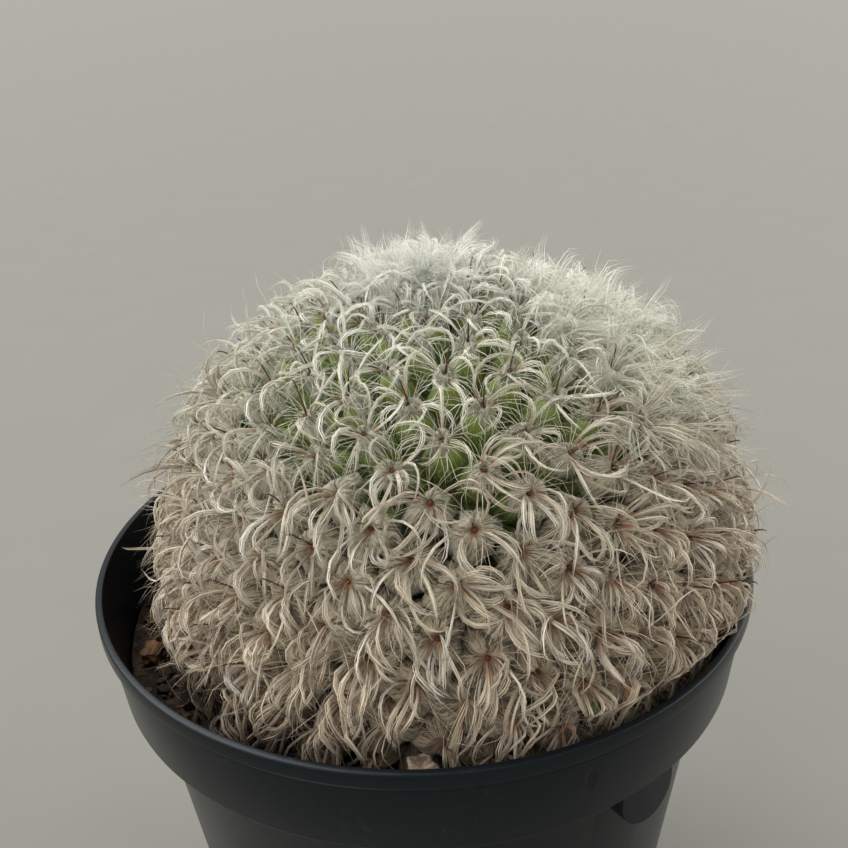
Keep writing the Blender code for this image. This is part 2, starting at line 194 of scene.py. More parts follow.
def mesh_object(name, points, faces):
    """An object from an array of points and an array of triangles or four-sided faces."""
    mesh = bpy.data.meshes.new(name)
    sides = faces.shape[1]
    mesh.vertices.add(len(points))
    mesh.vertices.foreach_set("co", points.astype(np.float32).ravel())
    mesh.loops.add(faces.size)
    mesh.loops.foreach_set("vertex_index", faces.astype(np.int32).ravel())
    mesh.polygons.add(len(faces))
    mesh.polygons.foreach_set("loop_start", np.arange(0, faces.size, sides, dtype=np.int32))
    mesh.update(calc_edges=True)
    made = bpy.data.objects.new(name, mesh)
    bpy.context.collection.objects.link(made)
    return made


def read_shape(piece):
    """A modelled piece's points and triangles as arrays. The piece itself is then dropped."""
    piece.data.calc_loop_triangles()
    points = np.array([vertex.co for vertex in piece.data.vertices])
    faces = np.array([triangle.vertices for triangle in piece.data.loop_triangles])
    bpy.data.objects.remove(piece)
    return points, faces


def repeat_shape(points, faces, placed):
    """Points and faces of one shape at many places. placed has one array of the shape's points a copy."""
    copies = len(placed)
    shifts = np.arange(copies)[:, None, None] * len(points)
    return placed.reshape(-1, 3), (faces[None] + shifts).reshape(-1, 3)


def set_places(piece, places):
    """Move a piece's points to new places."""
    piece.data.vertices.foreach_set("co", places.astype(np.float32).ravel())


def write_value(piece, name, values):
    """Keep one number a point on a piece, for its material to read."""
    attribute = piece.data.attributes.new(name, "FLOAT", "POINT")
    attribute.data.foreach_set("value", values.astype(np.float32).ravel())


FAN_SEED = 5
FAN_SHIFT = 9.0


def write_fan(piece, angles, copies):
    """Keep the way round its middle for each point of a copied shape, with a random shift a copy."""
    shift = np.random.default_rng(FAN_SEED).uniform(0.0, FAN_SHIFT, copies)
    fan = [np.tile(np.cos(angles), copies), np.tile(np.sin(angles), copies), np.repeat(shift, len(angles))]
    attribute = piece.data.attributes.new("fan", "FLOAT_VECTOR", "POINT")
    attribute.data.foreach_set("vector", np.stack(fan, -1).astype(np.float32).ravel())


print("helpers ready")

# %% [markdown]
# ## Helpers for materials
# A material is a small graph. Written as nodes and links it is hard to read, so a class wraps a socket
# and turns `mask * 0.5 + grain` into Math nodes. One method adds every other node: its settings come
# first, then the values or links of its sockets.

# %% Shader helpers
class Wire:
    """The output of a node, which can be used in sums."""

    def __init__(self, finish, socket):
        self.finish = finish
        self.socket = socket

    def sum(self, operation, first, second):
        """One Math node."""
        return self.finish.node("ShaderNodeMath", {"operation": operation}, {0: first, 1: second})

    def __add__(self, other):
        return self.sum("ADD", self, other)

    def __sub__(self, other):
        return self.sum("SUBTRACT", self, other)

    def __rsub__(self, other):
        return self.sum("SUBTRACT", other, self)

    def __mul__(self, other):
        return self.sum("MULTIPLY", self, other)


class Finish:
    """A material that is written as a few lines of words."""

    def __init__(self, name, roughness, **fixed):
        self.material = bpy.data.materials.new(name)
        self.material.use_nodes = True
        self.tree = self.material.node_tree
        self.shader = self.tree.nodes["Principled BSDF"]
        self.shader.inputs["Roughness"].default_value = roughness
        for socket, value in fixed.items():
            self.shader.inputs[socket.replace("_", " ")].default_value = value

    def node(self, kind, settings=None, sockets=None, output=0):
        """Add a node: its settings, then its sockets' values or links."""
        made = self.tree.nodes.new(kind)
        for name, value in (settings or {}).items():
            if name == "stops":
                while len(made.color_ramp.elements) < len(value):
                    made.color_ramp.elements.new(0.5)
                for stop, (position, shade) in zip(made.color_ramp.elements, value):
                    stop.position = position
                    stop.color = (*shade, 1.0)
            else:
                setattr(made, name, value)
        for name, value in (sockets or {}).items():
            if isinstance(value, Wire):
                self.tree.links.new(value.socket, made.inputs[name])
            else:
                made.inputs[name].default_value = value
        return Wire(self, made.outputs[output])

    def place(self):
        """Where a point is on the object."""
        return self.node("ShaderNodeTexCoord", output="Object")

    def value(self, name, output="Fac"):
        """A number, or a vector, that the piece keeps for each of its points."""
        return self.node("ShaderNodeAttribute", {"attribute_name": name}, output=output)

    def stretch(self, vector, scale):
        """A vector scaled by a number for each axis."""
        return self.node("ShaderNodeVectorMath", {"operation": "MULTIPLY"}, {0: vector, 1: scale})

    def grain(self, vector, scale, detail=2.0, roughness=0.5):
        """Soft noise from 0 to 1."""
        return self.node(
            "ShaderNodeTexNoise",
            sockets={"Vector": vector, "Scale": scale, "Detail": detail, "Roughness": roughness},
            output="Fac",
        )

    def cells(self, vector, scale, output="Distance"):
        """Distance to the nearest of many scattered points, or that point's random colour."""
        return self.node("ShaderNodeTexVoronoi", sockets={"Vector": vector, "Scale": scale}, output=output)

    def wander(self, vector, scale, size):
        """A vector pushed about by noise of some size."""
        noise_at = {"Vector": self.place(), "Scale": scale}
        push = self.node("ShaderNodeTexNoise", sockets=noise_at, output="Color")
        sockets = {0: push, 1: (size,) * 3, 2: vector}
        return self.node("ShaderNodeVectorMath", {"operation": "MULTIPLY_ADD"}, sockets)

    def mask(self, value, low, high):
        """0 below low, 1 above high, and a smooth step between them."""
        return self.node(
            "ShaderNodeMapRange",
            {"interpolation_type": "SMOOTHSTEP"},
            {"Value": value, "From Min": low, "From Max": high},
        )

    def blend(self, share, first, second, kind="MIX"):
        """A mix of two colours."""
        return self.node(
            "ShaderNodeMix",
            {"data_type": "RGBA", "blend_type": kind},
            {"Factor": share, 6: self.shade(first), 7: self.shade(second)},
            output=2,
        )

    def shade(self, colour):
        """A colour socket's value."""
        return colour if isinstance(colour, Wire) else (*colour, 1.0)

    def ramp(self, value, *stops):
        """A colour for each value."""
        return self.node("ShaderNodeValToRGB", {"stops": stops}, {"Fac": value}, output="Color")

    def feed(self, socket, wire):
        """Link a wire to one of the shader's sockets."""
        self.tree.links.new(wire.socket, self.shader.inputs[socket])

    def bump(self, height, depth, strength=1.0):
        """Relief that is too fine to model."""
        sockets = {"Height": height, "Distance": depth, "Strength": strength}
        self.feed("Normal", self.node("ShaderNodeBump", sockets=sockets, output="Normal"))


print("shader helpers ready")

# %% [markdown]
# ## The camera
# The photograph is taken from close by and from above. The camera is set by its own three directions, so
# that the rim of the pot falls on the rim in the photograph.

# %% Camera
CAMERA_PLACE = Vector((0.0, -0.12143, 0.15606))
CAMERA_RIGHT = Vector((0.99903, -0.02447, -0.03671))
CAMERA_UP = Vector((0.04367, 0.43043, 0.90157))
CAMERA_LENS = 42.453

camera = add(bpy.ops.object.camera_add, location=CAMERA_PLACE)
camera.name = "camera"
back = CAMERA_RIGHT.cross(CAMERA_UP)
turn = Matrix((CAMERA_RIGHT, CAMERA_UP, back)).transposed()
camera.matrix_world = Matrix.Translation(CAMERA_PLACE) @ turn.to_4x4()
camera.data.lens = CAMERA_LENS
camera.data.sensor_width = 36.0
camera.data.clip_start = 0.01
bpy.context.scene.camera = camera
print("camera", round((CAMERA_PLACE - Vector((0.0, 0.0, RIM_HEIGHT))).length, 4), "m from the rim's centre")

# %% [markdown]
# ## Light and floor
# The plant stands in daylight: most of it comes from above, from behind the plant on the left. The side
# that we see gets soft, low light from the left, and some more from the right. Three wide suns and a
# bright surrounding give that evenly over the whole floor, with soft shadows.

# %% Light and floor
def soft_sun(name, toward, strength, width, colour):
    """Light from one direction, as wide as an angle in degrees."""
    lamp = add(bpy.ops.object.light_add, type="SUN", location=(0.0, 0.0, 1.0))
    lamp.name = name
    lamp.data.energy = strength
    lamp.data.angle = math.radians(width)
    lamp.data.color = colour
    lamp.rotation_euler = Vector(toward).to_track_quat("-Z", "Y").to_euler()


soft_sun("high_sun", (0.45, -0.42, -1.0), 2.65, 45.0, (1.0, 0.985, 0.95))
soft_sun("left_sun", (0.84, 0.48, -0.28), 2.15, 80.0, (1.0, 0.95, 0.89))
soft_sun("right_sun", (-0.85, -0.33, -0.30), 2.70, 70.0, (1.0, 0.97, 0.92))

world = bpy.data.worlds.new("studio")
bpy.context.scene.world = world
world.use_nodes = True
surround = world.node_tree.nodes["Background"].inputs
surround["Color"].default_value = (0.72, 0.71, 0.68, 1.0)
surround["Strength"].default_value = 0.86
bpy.context.scene.view_settings.view_transform = "Standard"

FLOOR_SIZE = 24.0
floor = add(bpy.ops.mesh.primitive_plane_add, size=FLOOR_SIZE)
floor.name = "floor"
floor_finish = Finish("pale floor", 0.85)
floor_grain = floor_finish.grain(floor_finish.place(), 40.0)
floor_colour = floor_finish.blend(floor_grain, (0.179, 0.179, 0.163), (0.192, 0.192, 0.175))
floor_finish.feed("Base Color", floor_colour)
floor.data.materials.append(floor_finish.material)
floor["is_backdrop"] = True
print("floor", FLOOR_SIZE, "m")

# %% [markdown]
# ## The pot
# The pot is a thin nursery pot of black plastic: a plain tapering body, a stepped band under a narrow
# lip, three small stacking lugs and drain holes. It is round, so it is spun from one outline. Every
# corner of the outline gets a small arc, because a moulded edge is never sharp and catches a thin line
# of light.

# %% Pot outline
def rounded(corners, arc_steps=3):
    """An outline whose corners (radius, height, rounding) are replaced by small arcs."""
    points = []
    for index, (radius, height, size) in enumerate(corners):
        here = Vector((radius, height))
        if size == 0.0:
            points.append(here)
            continue
        before = Vector(corners[index - 1][:2])
        after = Vector(corners[index + 1][:2])
        start = here + min(size, 0.45 * (before - here).length) * (before - here).normalized()
        end = here + min(size, 0.45 * (after - here).length) * (after - here).normalized()
        for step in range(arc_steps + 1):
            share = step / arc_steps
            points.append(start.lerp(here, share).lerp(here.lerp(end, share), share))
    return points


ROUND = 0.0005
LIP_ROUND = 0.0002
GROOVE_DEPTH = 0.0003
UNDER_LIP = RIM_HEIGHT - LIP_HEIGHT
groove_radius = BAND_TOP_RADIUS - GROOVE_DEPTH
foot_inside = BODY_FOOT_RADIUS - FOOT_WIDTH
pot_outline = rounded(
    [
        (0.0, FLOOR_HEIGHT, 0.0),
        (inner_radius(FLOOR_HEIGHT), FLOOR_HEIGHT, 0.0012),
        (inner_radius(LEDGE_HEIGHT - 0.0007), LEDGE_HEIGHT - 0.0007, ROUND),
        (inner_radius(LEDGE_HEIGHT), LEDGE_HEIGHT, ROUND),
        (RIM_RADIUS - LIP_WIDTH - 0.0001, RIM_HEIGHT - 0.0006, ROUND),
        (RIM_RADIUS - LIP_WIDTH, RIM_HEIGHT, LIP_ROUND),
        (RIM_RADIUS, RIM_HEIGHT - 0.0001, LIP_ROUND),
        (RIM_RADIUS, UNDER_LIP, LIP_ROUND),
        (groove_radius, UNDER_LIP - 0.0001, LIP_ROUND),
        (groove_radius, UNDER_LIP - 0.0007, LIP_ROUND),
        (BAND_TOP_RADIUS, UNDER_LIP - 0.0010, LIP_ROUND),
        (BAND_FOOT_RADIUS, BAND_FOOT_HEIGHT, ROUND),
        (BODY_TOP_RADIUS, BAND_FOOT_HEIGHT - 0.0004, ROUND),
        (BODY_FOOT_RADIUS, 0.0, 0.0009),
        (foot_inside, 0.0, 0.0006),
        (foot_inside - 0.0008, FOOT_RECESS, 0.0006),
        (0.0, FOOT_RECESS, 0.0),
    ]
)
print("pot outline", len(pot_outline), "points")

# %% Spin the pot
def spin_outline(name, outline, steps):
    """A closed body spun about the Z axis from an outline that starts and ends on it."""
    body = add(bpy.ops.mesh.primitive_plane_add, size=0.01)
    body.name = name
    edit(body)
    bpy.ops.mesh.merge(type="CENTER")
    bpy.ops.transform.translate(value=(outline[0][0], 0.0, outline[0][1]))
    for start, end in zip(outline, outline[1:]):
        step = (end[0] - start[0], 0.0, end[1] - start[1])
        bpy.ops.mesh.extrude_vertices_move(TRANSFORM_OT_translate={"value": step})
    bpy.ops.mesh.select_all(action="SELECT")
    bpy.ops.mesh.spin(steps=steps, angle=2.0 * math.pi, center=(0.0, 0.0, 0.0), axis=(0.0, 0.0, 1.0))
    bpy.ops.mesh.select_all(action="SELECT")
    bpy.ops.mesh.remove_doubles(threshold=0.000005)
    bpy.ops.mesh.normals_make_consistent(inside=False)
    done()
    return body


POT_STEPS = 192
pot_wall = spin_outline("pot_wall", pot_outline, POT_STEPS)
print("pot_wall", triangles(pot_wall), "triangles")

# %% [markdown]
# ## Lugs and drain holes
# Under the band hang three rounded tongues, flush with the band's face, which keep stacked pots from
# sticking together. A cylinder gives the round end: its upper half is flattened and pulled up into the
# band, and its face is bent to the band's curve. Boolean modifiers join them and cut the five holes.

# %% Lugs
LUG_AZIMUTHS = (-54.5, 65.5, 185.5)
LUG_HALF_WIDTH = 0.0042
LUG_DROP = 0.0054
LUG_CUTS = 3


def model_lug(azimuth):
    """A tongue with a round end, bent to the band's curve, at an azimuth in degrees."""
    depth = BAND_FOOT_RADIUS - BODY_TOP_RADIUS + 0.0010
    middle = Vector((BAND_FOOT_RADIUS - 0.5 * depth, 0.0, BAND_FOOT_HEIGHT - LUG_DROP + LUG_HALF_WIDTH))
    lug = add(
        bpy.ops.mesh.primitive_cylinder_add,
        vertices=40, radius=LUG_HALF_WIDTH, depth=depth, location=middle, rotation=(0.0, math.pi / 2.0, 0.0),
    )
    settle(lug)
    edit_where(lug, lambda index, place: place.z > middle.z + 0.00001)
    bpy.ops.transform.resize(value=(1.0, 1.0, 0.0), center_override=middle)
    bpy.ops.transform.translate(value=(0.0, 0.0, BAND_FOOT_HEIGHT + 0.0006 - middle.z))
    bpy.ops.mesh.select_all(action="SELECT")
    for cut in range(-LUG_CUTS, LUG_CUTS + 1):
        across = cut * LUG_HALF_WIDTH / (LUG_CUTS + 1.0)
        bpy.ops.mesh.bisect(plane_co=(0.0, across, 0.0), plane_no=(0.0, 1.0, 0.0))
        bpy.ops.mesh.select_all(action="SELECT")
    done()
    for vertex in lug.data.vertices:
        if vertex.co.x > middle.x:
            vertex.co.x = math.sqrt((BAND_FOOT_RADIUS - 0.00005) ** 2 - vertex.co.y**2)
    edit(lug)
    bpy.ops.transform.rotate(value=-math.radians(azimuth), orient_axis="Z", center_override=(0.0, 0.0, 0.0))
    done()
    return lug


def turned_to(piece, azimuth):
    """How far a piece that was modelled at +X has turned, in degrees."""
    points = np.array([vertex.co for vertex in piece.data.vertices])
    middle = points.mean(0)
    return round(math.degrees(math.atan2(middle[1], middle[0])) - azimuth) % 360


lugs = [model_lug(azimuth) for azimuth in LUG_AZIMUTHS]
print("lugs off by", [turned_to(lug, azimuth) for lug, azimuth in zip(lugs, LUG_AZIMUTHS)], "degrees")

# %% Drain holes and joining
DRAIN_COUNT = 5
DRAIN_RADIUS = 0.0030
DRAIN_RING_RADIUS = 0.0200
DRAIN_FIRST_AZIMUTH = 36.0


def model_drain(number):
    """A round cutter through the pot's floor."""
    angle = math.radians(DRAIN_FIRST_AZIMUTH + 360.0 * number / DRAIN_COUNT)
    place = (DRAIN_RING_RADIUS * math.cos(angle), DRAIN_RING_RADIUS * math.sin(angle), FOOT_RECESS)
    size = {"radius": DRAIN_RADIUS, "depth": 4.0 * FOOT_RECESS}
    return add(bpy.ops.mesh.primitive_cylinder_add, vertices=32, location=place, **size)


def combine(body, tools, operation):
    """Apply a Boolean with each tool, and drop the tools."""
    for tool in tools:
        clean_slate()
        bpy.context.view_layer.objects.active = body
        step = body.modifiers.new("join", "BOOLEAN")
        step.operation = operation
        step.object = tool
        step.solver = "EXACT"
        bpy.ops.object.modifier_apply(modifier=step.name)
        bpy.data.objects.remove(tool)


combine(pot_wall, lugs, "UNION")
combine(pot_wall, [model_drain(number) for number in range(DRAIN_COUNT)], "DIFFERENCE")
print("pot_wall", triangles(pot_wall), "triangles with lugs and holes")

# %% [markdown]
# ## Black plastic
# The plastic is almost black and slightly blue, with a satin skin. Seen close it is uneven: soft cloudy
# patches from the mould, a faint orange-peel relief, a few fine pale scratches that run round the pot, a
# little dust from the soil, and one small dent in the band at the front, darkened with painted shade.

# %% Pot finish
DENT_PLACE = (0.0171, -0.0403, 0.0738)
DENT_SQUASH = 0.45

plastic = Finish("pot plastic", 0.32, Specular_IOR_Level=0.20, Specular_Tint=(0.80, 0.92, 1.0, 1.0))
spot = plastic.place()
clouds = plastic.grain(spot, 60.0, 3.0)
streaks = plastic.grain(plastic.stretch(spot, (60.0, 60.0, 2600.0)), 1.0, 2.0, 0.7)
patches = plastic.mask(plastic.grain(spot, 95.0, 2.0), 0.52, 0.70)
scratches = plastic.mask(streaks, 0.70, 0.78) * patches
dust = plastic.mask(plastic.grain(spot, 900.0, 3.0, 0.7), 0.58, 0.78) * plastic.mask(clouds, 0.40, 0.62)
body_colour = plastic.blend(clouds, (0.0036, 0.0050, 0.0068), (0.0058, 0.0076, 0.0098))
scratched = plastic.blend(scratches * 0.35, body_colour, (0.11, 0.115, 0.12))
dent_middle = (*DENT_PLACE[:2], DENT_SQUASH * DENT_PLACE[2])
dent_spot = plastic.stretch(spot, (1.0, 1.0, DENT_SQUASH))
dent = plastic.node(
    "ShaderNodeVectorMath", {"operation": "DISTANCE"}, {0: dent_spot, 1: dent_middle}, output="Value"
)
dent_and_shade = plastic.mask(dent, 0.0009, 0.0005)
# Painted shade: the dent is darkened in colour, as if shade falls in its hollow.
scratched = plastic.blend(dent_and_shade * 0.8, scratched, (0.0012, 0.0016, 0.0022))
plastic.feed("Base Color", plastic.blend(dust * 0.16, scratched, (0.13, 0.11, 0.085)))
plastic.feed("Roughness", clouds * 0.12 + dust * 0.30 + 0.24)
peel = plastic.grain(spot, 1400.0, 2.0)
plastic.bump(peel + scratches * -2.0 + dent_and_shade * -4.0, 0.00003, 0.35)
finish_piece(pot_wall, "pot_shell", plastic.material, "pot_plastic", "pot", smooth=32.0)

# %% [markdown]
# ## The soil
# Potting soil is a dark, uneven bed of peat and bark. Its body is spun like the pot, a hair's breadth
# smaller than the pot's inside, with many rings on top. The top's points are then lifted and dropped by
# noise at three sizes: mounds, lumps and crumbs. Under the plant the bed dips, so that the stem's foot
# stands in it.

# %% Soil bed
SOIL_STEPS = 176
SOIL_RING_STEP = 0.0009
NECK_RADIUS = 0.0272
NECK_DEPTH = 0.0085
SOIL_RELIEF = 0.0013
SOIL_WAVES = ((0.0091, 0.0, 0.50), (0.0033, 3.0, 0.45), (0.0014, 7.0, 0.35))
INNER_RING = 0.0160


def soil_height(x, y):
    """The soil's height at a place on the bed. Each wave has a size, a shift and a share."""
    spot = Vector((x, y, 0.0))
    waves = [part * noise.noise(spot / size + Vector((0.0, 0.0, shift))) for size, shift, part in SOIL_WAVES]
    return SOIL_HEIGHT + SOIL_RELIEF * sum(waves)


def soil_outline():
    """The bed's outline from the axis under it, up its side and in over its top."""
    brim = inner_radius(SOIL_HEIGHT) - GAP
    points = [
        (0.0, FLOOR_HEIGHT + GAP),
        (inner_radius(FLOOR_HEIGHT) - 0.0012, FLOOR_HEIGHT + GAP),
        (inner_radius(FLOOR_HEIGHT + 0.0012) - GAP, FLOOR_HEIGHT + 0.0012),
        (inner_radius(LEDGE_HEIGHT - 0.0007) - GAP, LEDGE_HEIGHT - 0.0004),
        (inner_radius(LEDGE_HEIGHT) - GAP, LEDGE_HEIGHT + GAP),
    ]
    ring_count = int((brim - INNER_RING) / SOIL_RING_STEP)
    points += [(brim - SOIL_RING_STEP * index, SOIL_HEIGHT) for index in range(ring_count + 1)]
    return [Vector(point) for point in points + [(0.0, SOIL_HEIGHT)]]


soil_bed = spin_outline("soil_bed", soil_outline(), SOIL_STEPS)
for vertex in soil_bed.data.vertices:
    if vertex.co.z < SOIL_HEIGHT - 0.00001:
        continue
    out = math.hypot(vertex.co.x - PLANT_CENTRE[0], vertex.co.y - PLANT_CENTRE[1])
    if out < NECK_RADIUS + GAP:
        vertex.co.z = SOIL_HEIGHT - NECK_DEPTH - GAP
    else:
        vertex.co.z = soil_height(vertex.co.x, vertex.co.y)
print("soil_bed", triangles(soil_bed), "triangles")

# %% [markdown]
# ## Soil colour
# Peat is nearly black where it is wet and brown where it has dried, with flecks of bark and pale
# minerals. Three sizes of noise and a scatter of small cells give that, and the same noise gives the
# relief.

# %% Soil finish
def soil_finish(name, dark, brown, fleck):
    """A crumbly finish with flecks."""
    made = Finish(name, 0.95, Specular_IOR_Level=0.2)
    spot = made.place()
    patches = made.grain(spot, 220.0, 4.0, 0.6)
    fine = made.grain(spot, 1500.0, 3.0, 0.7)
    bits = made.cells(spot, 700.0, output="Color")
    flecks = made.mask(made.grain(bits, 2.3, 0.0), 0.60, 0.66)
    mixed = made.blend(made.mask(patches * 0.6 + fine * 0.4, 0.40, 0.62), dark, brown)
    made.feed("Base Color", made.blend(flecks * 0.25, mixed, fleck))
    made.bump(fine + made.cells(spot, 900.0) * 0.8, 0.0003, 0.8)
    return made.material


peat = soil_finish("potting soil", (0.009, 0.0065, 0.005), (0.034, 0.021, 0.014), (0.12, 0.072, 0.042))
finish_piece(soil_bed, "soil_bed", peat, "potting_soil", "soil", smooth=70.0)

# %% [markdown]
# ## Crumbs
# Loose crumbs lie on the bed. A crumb is modelled once, as a ball of few faces whose corners are pushed
# in, and copied with its own size, stretch and turn. They only lie where the bed shows, between the plant
# and the pot's wall.

# %% Soil crumbs
CRUMBS = 1000
CRUMB_SMALLEST = 0.00028
CRUMB_GROWTH = 0.00100
CRUMB_CLEAR = 0.0013
CRUMB_SINK = 0.35
CRUMB_PUSH = (0.62, 0.78, 0.70)
PLANT_EDGE = 0.0290
BARE_SHARE = 0.40
draw = np.random.default_rng(11)


def turn_matrices(axes, angles):
    """Turning matrices about unit axes by angles."""
    x, y, z = axes.T
    zero = np.zeros_like(x)
    cross = np.stack([zero, -z, y, z, zero, -x, -y, x, zero], -1).reshape(-1, 3, 3)
    sine = np.sin(angles)[:, None, None]
    cosine = np.cos(angles)[:, None, None]
    return np.eye(3) * cosine + cross * sine + axes[:, :, None] * axes[:, None, :] * (1.0 - cosine)


def unit(rows):
    """Rows of vectors, each one long."""
    return rows / np.maximum(np.linalg.norm(rows, axis=-1, keepdims=True), 1e-12)


def bed_places(count, clear):
    """Random places on the part of the bed that shows, clear of the wall."""
    found = []
    limit = inner_radius(SOIL_HEIGHT) - clear
    while len(found) < count:
        angle = draw.uniform(0.0, 2.0 * math.pi)
        radius = limit * math.sqrt(draw.uniform(BARE_SHARE, 1.0))
        x, y = radius * math.cos(angle), radius * math.sin(angle)
        if math.hypot(x - PLANT_CENTRE[0], y - PLANT_CENTRE[1]) > PLANT_EDGE:
            found.append((x, y, soil_height(x, y)))
    return np.array(found)


def model_crumb():
    """A crumb of twenty faces with some corners pushed in."""
    crumb = add(bpy.ops.mesh.primitive_ico_sphere_add, subdivisions=1, radius=1.0)
    edit_where(crumb, lambda index, place: index % 3 == 0)
    bpy.ops.transform.resize(value=CRUMB_PUSH, center_override=(0.0, 0.0, 0.0))
    done()
    return crumb


crumb_points, crumb_faces = read_shape(model_crumb())
crumb_sizes = CRUMB_SMALLEST + CRUMB_GROWTH * draw.uniform(0.0, 1.0, CRUMBS) ** 3.0
crumb_spots = bed_places(CRUMBS, CRUMB_CLEAR)
crumb_stretch = draw.uniform(0.55, 1.35, (CRUMBS, 3))
crumb_axes = unit(draw.normal(size=(CRUMBS, 3)))
crumb_turns = turn_matrices(crumb_axes, draw.uniform(0.0, 2.0 * math.pi, CRUMBS))
crumb_shapes = crumb_points[None] * crumb_stretch[:, None] * crumb_sizes[:, None, None]
crumb_shapes = np.einsum("nij,nvj->nvi", crumb_turns, crumb_shapes)
crumb_spots[:, 2] += CRUMB_SINK * crumb_sizes
crumb_copies = repeat_shape(crumb_points, crumb_faces, crumb_shapes + crumb_spots[:, None])
crumbs = mesh_object("soil_crumbs", *crumb_copies)
write_value(crumbs, "tone", np.repeat(draw.uniform(0.0, 1.0, CRUMBS), len(crumb_points)))
print("crumbs", CRUMBS)

# %% Crumb finish
crumb_finish = Finish("soil crumbs", 0.95, Specular_IOR_Level=0.2)
crumb_tone = crumb_finish.value("tone")
crumb_grain = crumb_finish.grain(crumb_finish.place(), 1300.0, 3.0, 0.7)
crumb_ramp = crumb_finish.ramp(
    crumb_tone,
    (0.0, (0.011, 0.008, 0.006)),
    (0.45, (0.030, 0.019, 0.012)),
    (0.80, (0.070, 0.042, 0.024)),
    (0.94, (0.150, 0.095, 0.052)),
    (1.0, (0.30, 0.23, 0.155)),
)
crumb_finish.feed("Base Color", crumb_finish.blend(crumb_grain, crumb_ramp, (0.030, 0.020, 0.014)))
crumb_finish.bump(crumb_grain, 0.0002, 0.6)
finish_piece(crumbs, "soil_crumbs", crumb_finish.material, "potting_soil", "soil", smooth=40.0)

# %% [markdown]
# ## Chips of bark and grit
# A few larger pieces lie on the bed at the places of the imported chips. A bark chip is a flat slab: a
# cube, subdivided and pressed into shape by noise, with layers along its length. A bit of grit is
# rounder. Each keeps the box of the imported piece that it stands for. One more stone leans against the
# pot's wall at the front, where it shows over the lip. No hair is laid in front of it.

# %% Chips
CHIPS = (
    ("bark_chip_1", 50.0, 21.0, (0.150, 0.098, 0.042)),
    ("bark_chip_2", 80.0, 22.0, (0.150, 0.078, 0.032)),
    ("bark_chip_3", 110.0, 23.0, (0.160, 0.100, 0.070)),
    ("bark_chip_4", 316.0, 24.0, (0.15, 0.085, 0.05)),
    ("grit_1", 4.0, 25.0, (0.56, 0.37, 0.27)),
    ("grit_2", 60.0, 26.0, (0.44, 0.31, 0.22)),
)
CHIP_BEVEL = 0.35
CHIP_NARROWING = 0.62
CHIP_WAVES = (0.30, 0.6), (0.14, 1.9)


def model_chip(low, high, azimuth, seed, layered):
    """A chip in a box, with its long side at an azimuth in degrees."""
    chip = add(bpy.ops.mesh.primitive_cube_add, size=2.0)
    edit(chip)
    bpy.ops.mesh.bevel(offset=CHIP_BEVEL, segments=2, affect="EDGES")
    bpy.ops.mesh.subdivide(number_cuts=2)
    done()
    drift = Vector((seed, 0.5 * seed, 2.0 * seed))
    across = (1.6, 3.4, 5.5) if layered else (2.2, 2.2, 2.2)
    turn = Matrix.Rotation(math.radians(azimuth), 3, "Z")
    (coarse, coarse_scale), (fine, fine_scale) = CHIP_WAVES
    for vertex in chip.data.vertices:
        spot = Vector(side * scale for side, scale in zip(vertex.co, across))
        slow, quick = noise.noise(spot * coarse_scale + drift), noise.noise(spot * fine_scale - drift)
        vertex.co *= 0.85 + coarse * slow + fine * quick
        vertex.co = turn @ Vector((vertex.co.x, vertex.co.y * CHIP_NARROWING, vertex.co.z))
    points = np.array([vertex.co for vertex in chip.data.vertices])
    span = points.max(0) - points.min(0)
    set_places(chip, (points - points.min(0)) / span * (np.array(high) - np.array(low)) + np.array(low))
    return chip


def chip_finish(name, colour, azimuth, layered):
    """Bark with grain along it, or plain grit."""
    made = Finish(name, 0.88, Specular_IOR_Level=0.25)
    along = made.node(
        "ShaderNodeMapping",
        {"vector_type": "TEXTURE"},
        {"Vector": made.place(), "Rotation": (0.0, 0.0, math.radians(azimuth))},
    )
    stripes = (240.0, 1500.0, 2200.0) if layered else (900.0, 900.0, 900.0)
    fibre = made.grain(made.stretch(along, stripes), 1.0, 3.0, 0.65)
    stain = made.grain(made.place(), 420.0, 3.0)
    dark = tuple(0.35 * part for part in colour)
    pale = tuple(min(1.0, 1.5 * part + 0.05) for part in colour)
    body = made.blend(made.mask(fibre, 0.36, 0.62), dark, colour)
    made.feed("Base Color", made.blend(made.mask(stain, 0.52, 0.72) * 0.6, body, pale))
    made.bump(fibre + stain, 0.00025, 0.7)
    return made.material


for node, azimuth, seed, colour in CHIPS:
    is_bark = node.startswith("bark")
    chip = model_chip(*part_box(node), azimuth, seed, is_bark)
    chip_name = node.replace("bark_chip", "bark_piece").replace("grit", "grit_stone")
    chip_look = chip_finish(chip_name.replace("_", " "), colour, azimuth, is_bark)
    finish_piece(chip, chip_name, chip_look, "bark" if is_bark else "grit", node, smooth=50.0)

# %% Front stone
STONE_LOW = (-0.0031, -0.0410, 0.0696)
STONE_HIGH = (0.0008, -0.0370, 0.0766)
STONE_AZIMUTH = 12.0
STONE_CLEAR = 0.0002
STONE_VIEW_CLEAR = 0.0006

stone = model_chip(STONE_LOW, STONE_HIGH, STONE_AZIMUTH, 27.0, False)
stone_look = chip_finish("front stone", (0.78, 0.60, 0.47), STONE_AZIMUTH, False)
finish_piece(stone, "grit_stone_3", stone_look, "grit", "soil", smooth=60.0)


def over_stone(points):
    """Which curves pass over the front stone, or before it."""
    x, y, z = points[..., 0], points[..., 1], points[..., 2]
    beside_it = (x > STONE_LOW[0] - STONE_CLEAR) & (x < STONE_HIGH[0] + STONE_CLEAR)
    low_before_it = (y < STONE_HIGH[1]) & (z < STONE_HIGH[2] + STONE_HIGH[1] - y + STONE_VIEW_CLEAR)
    return (beside_it & low_before_it).any(axis=-1)


print("stone", triangles(stone), "triangles")

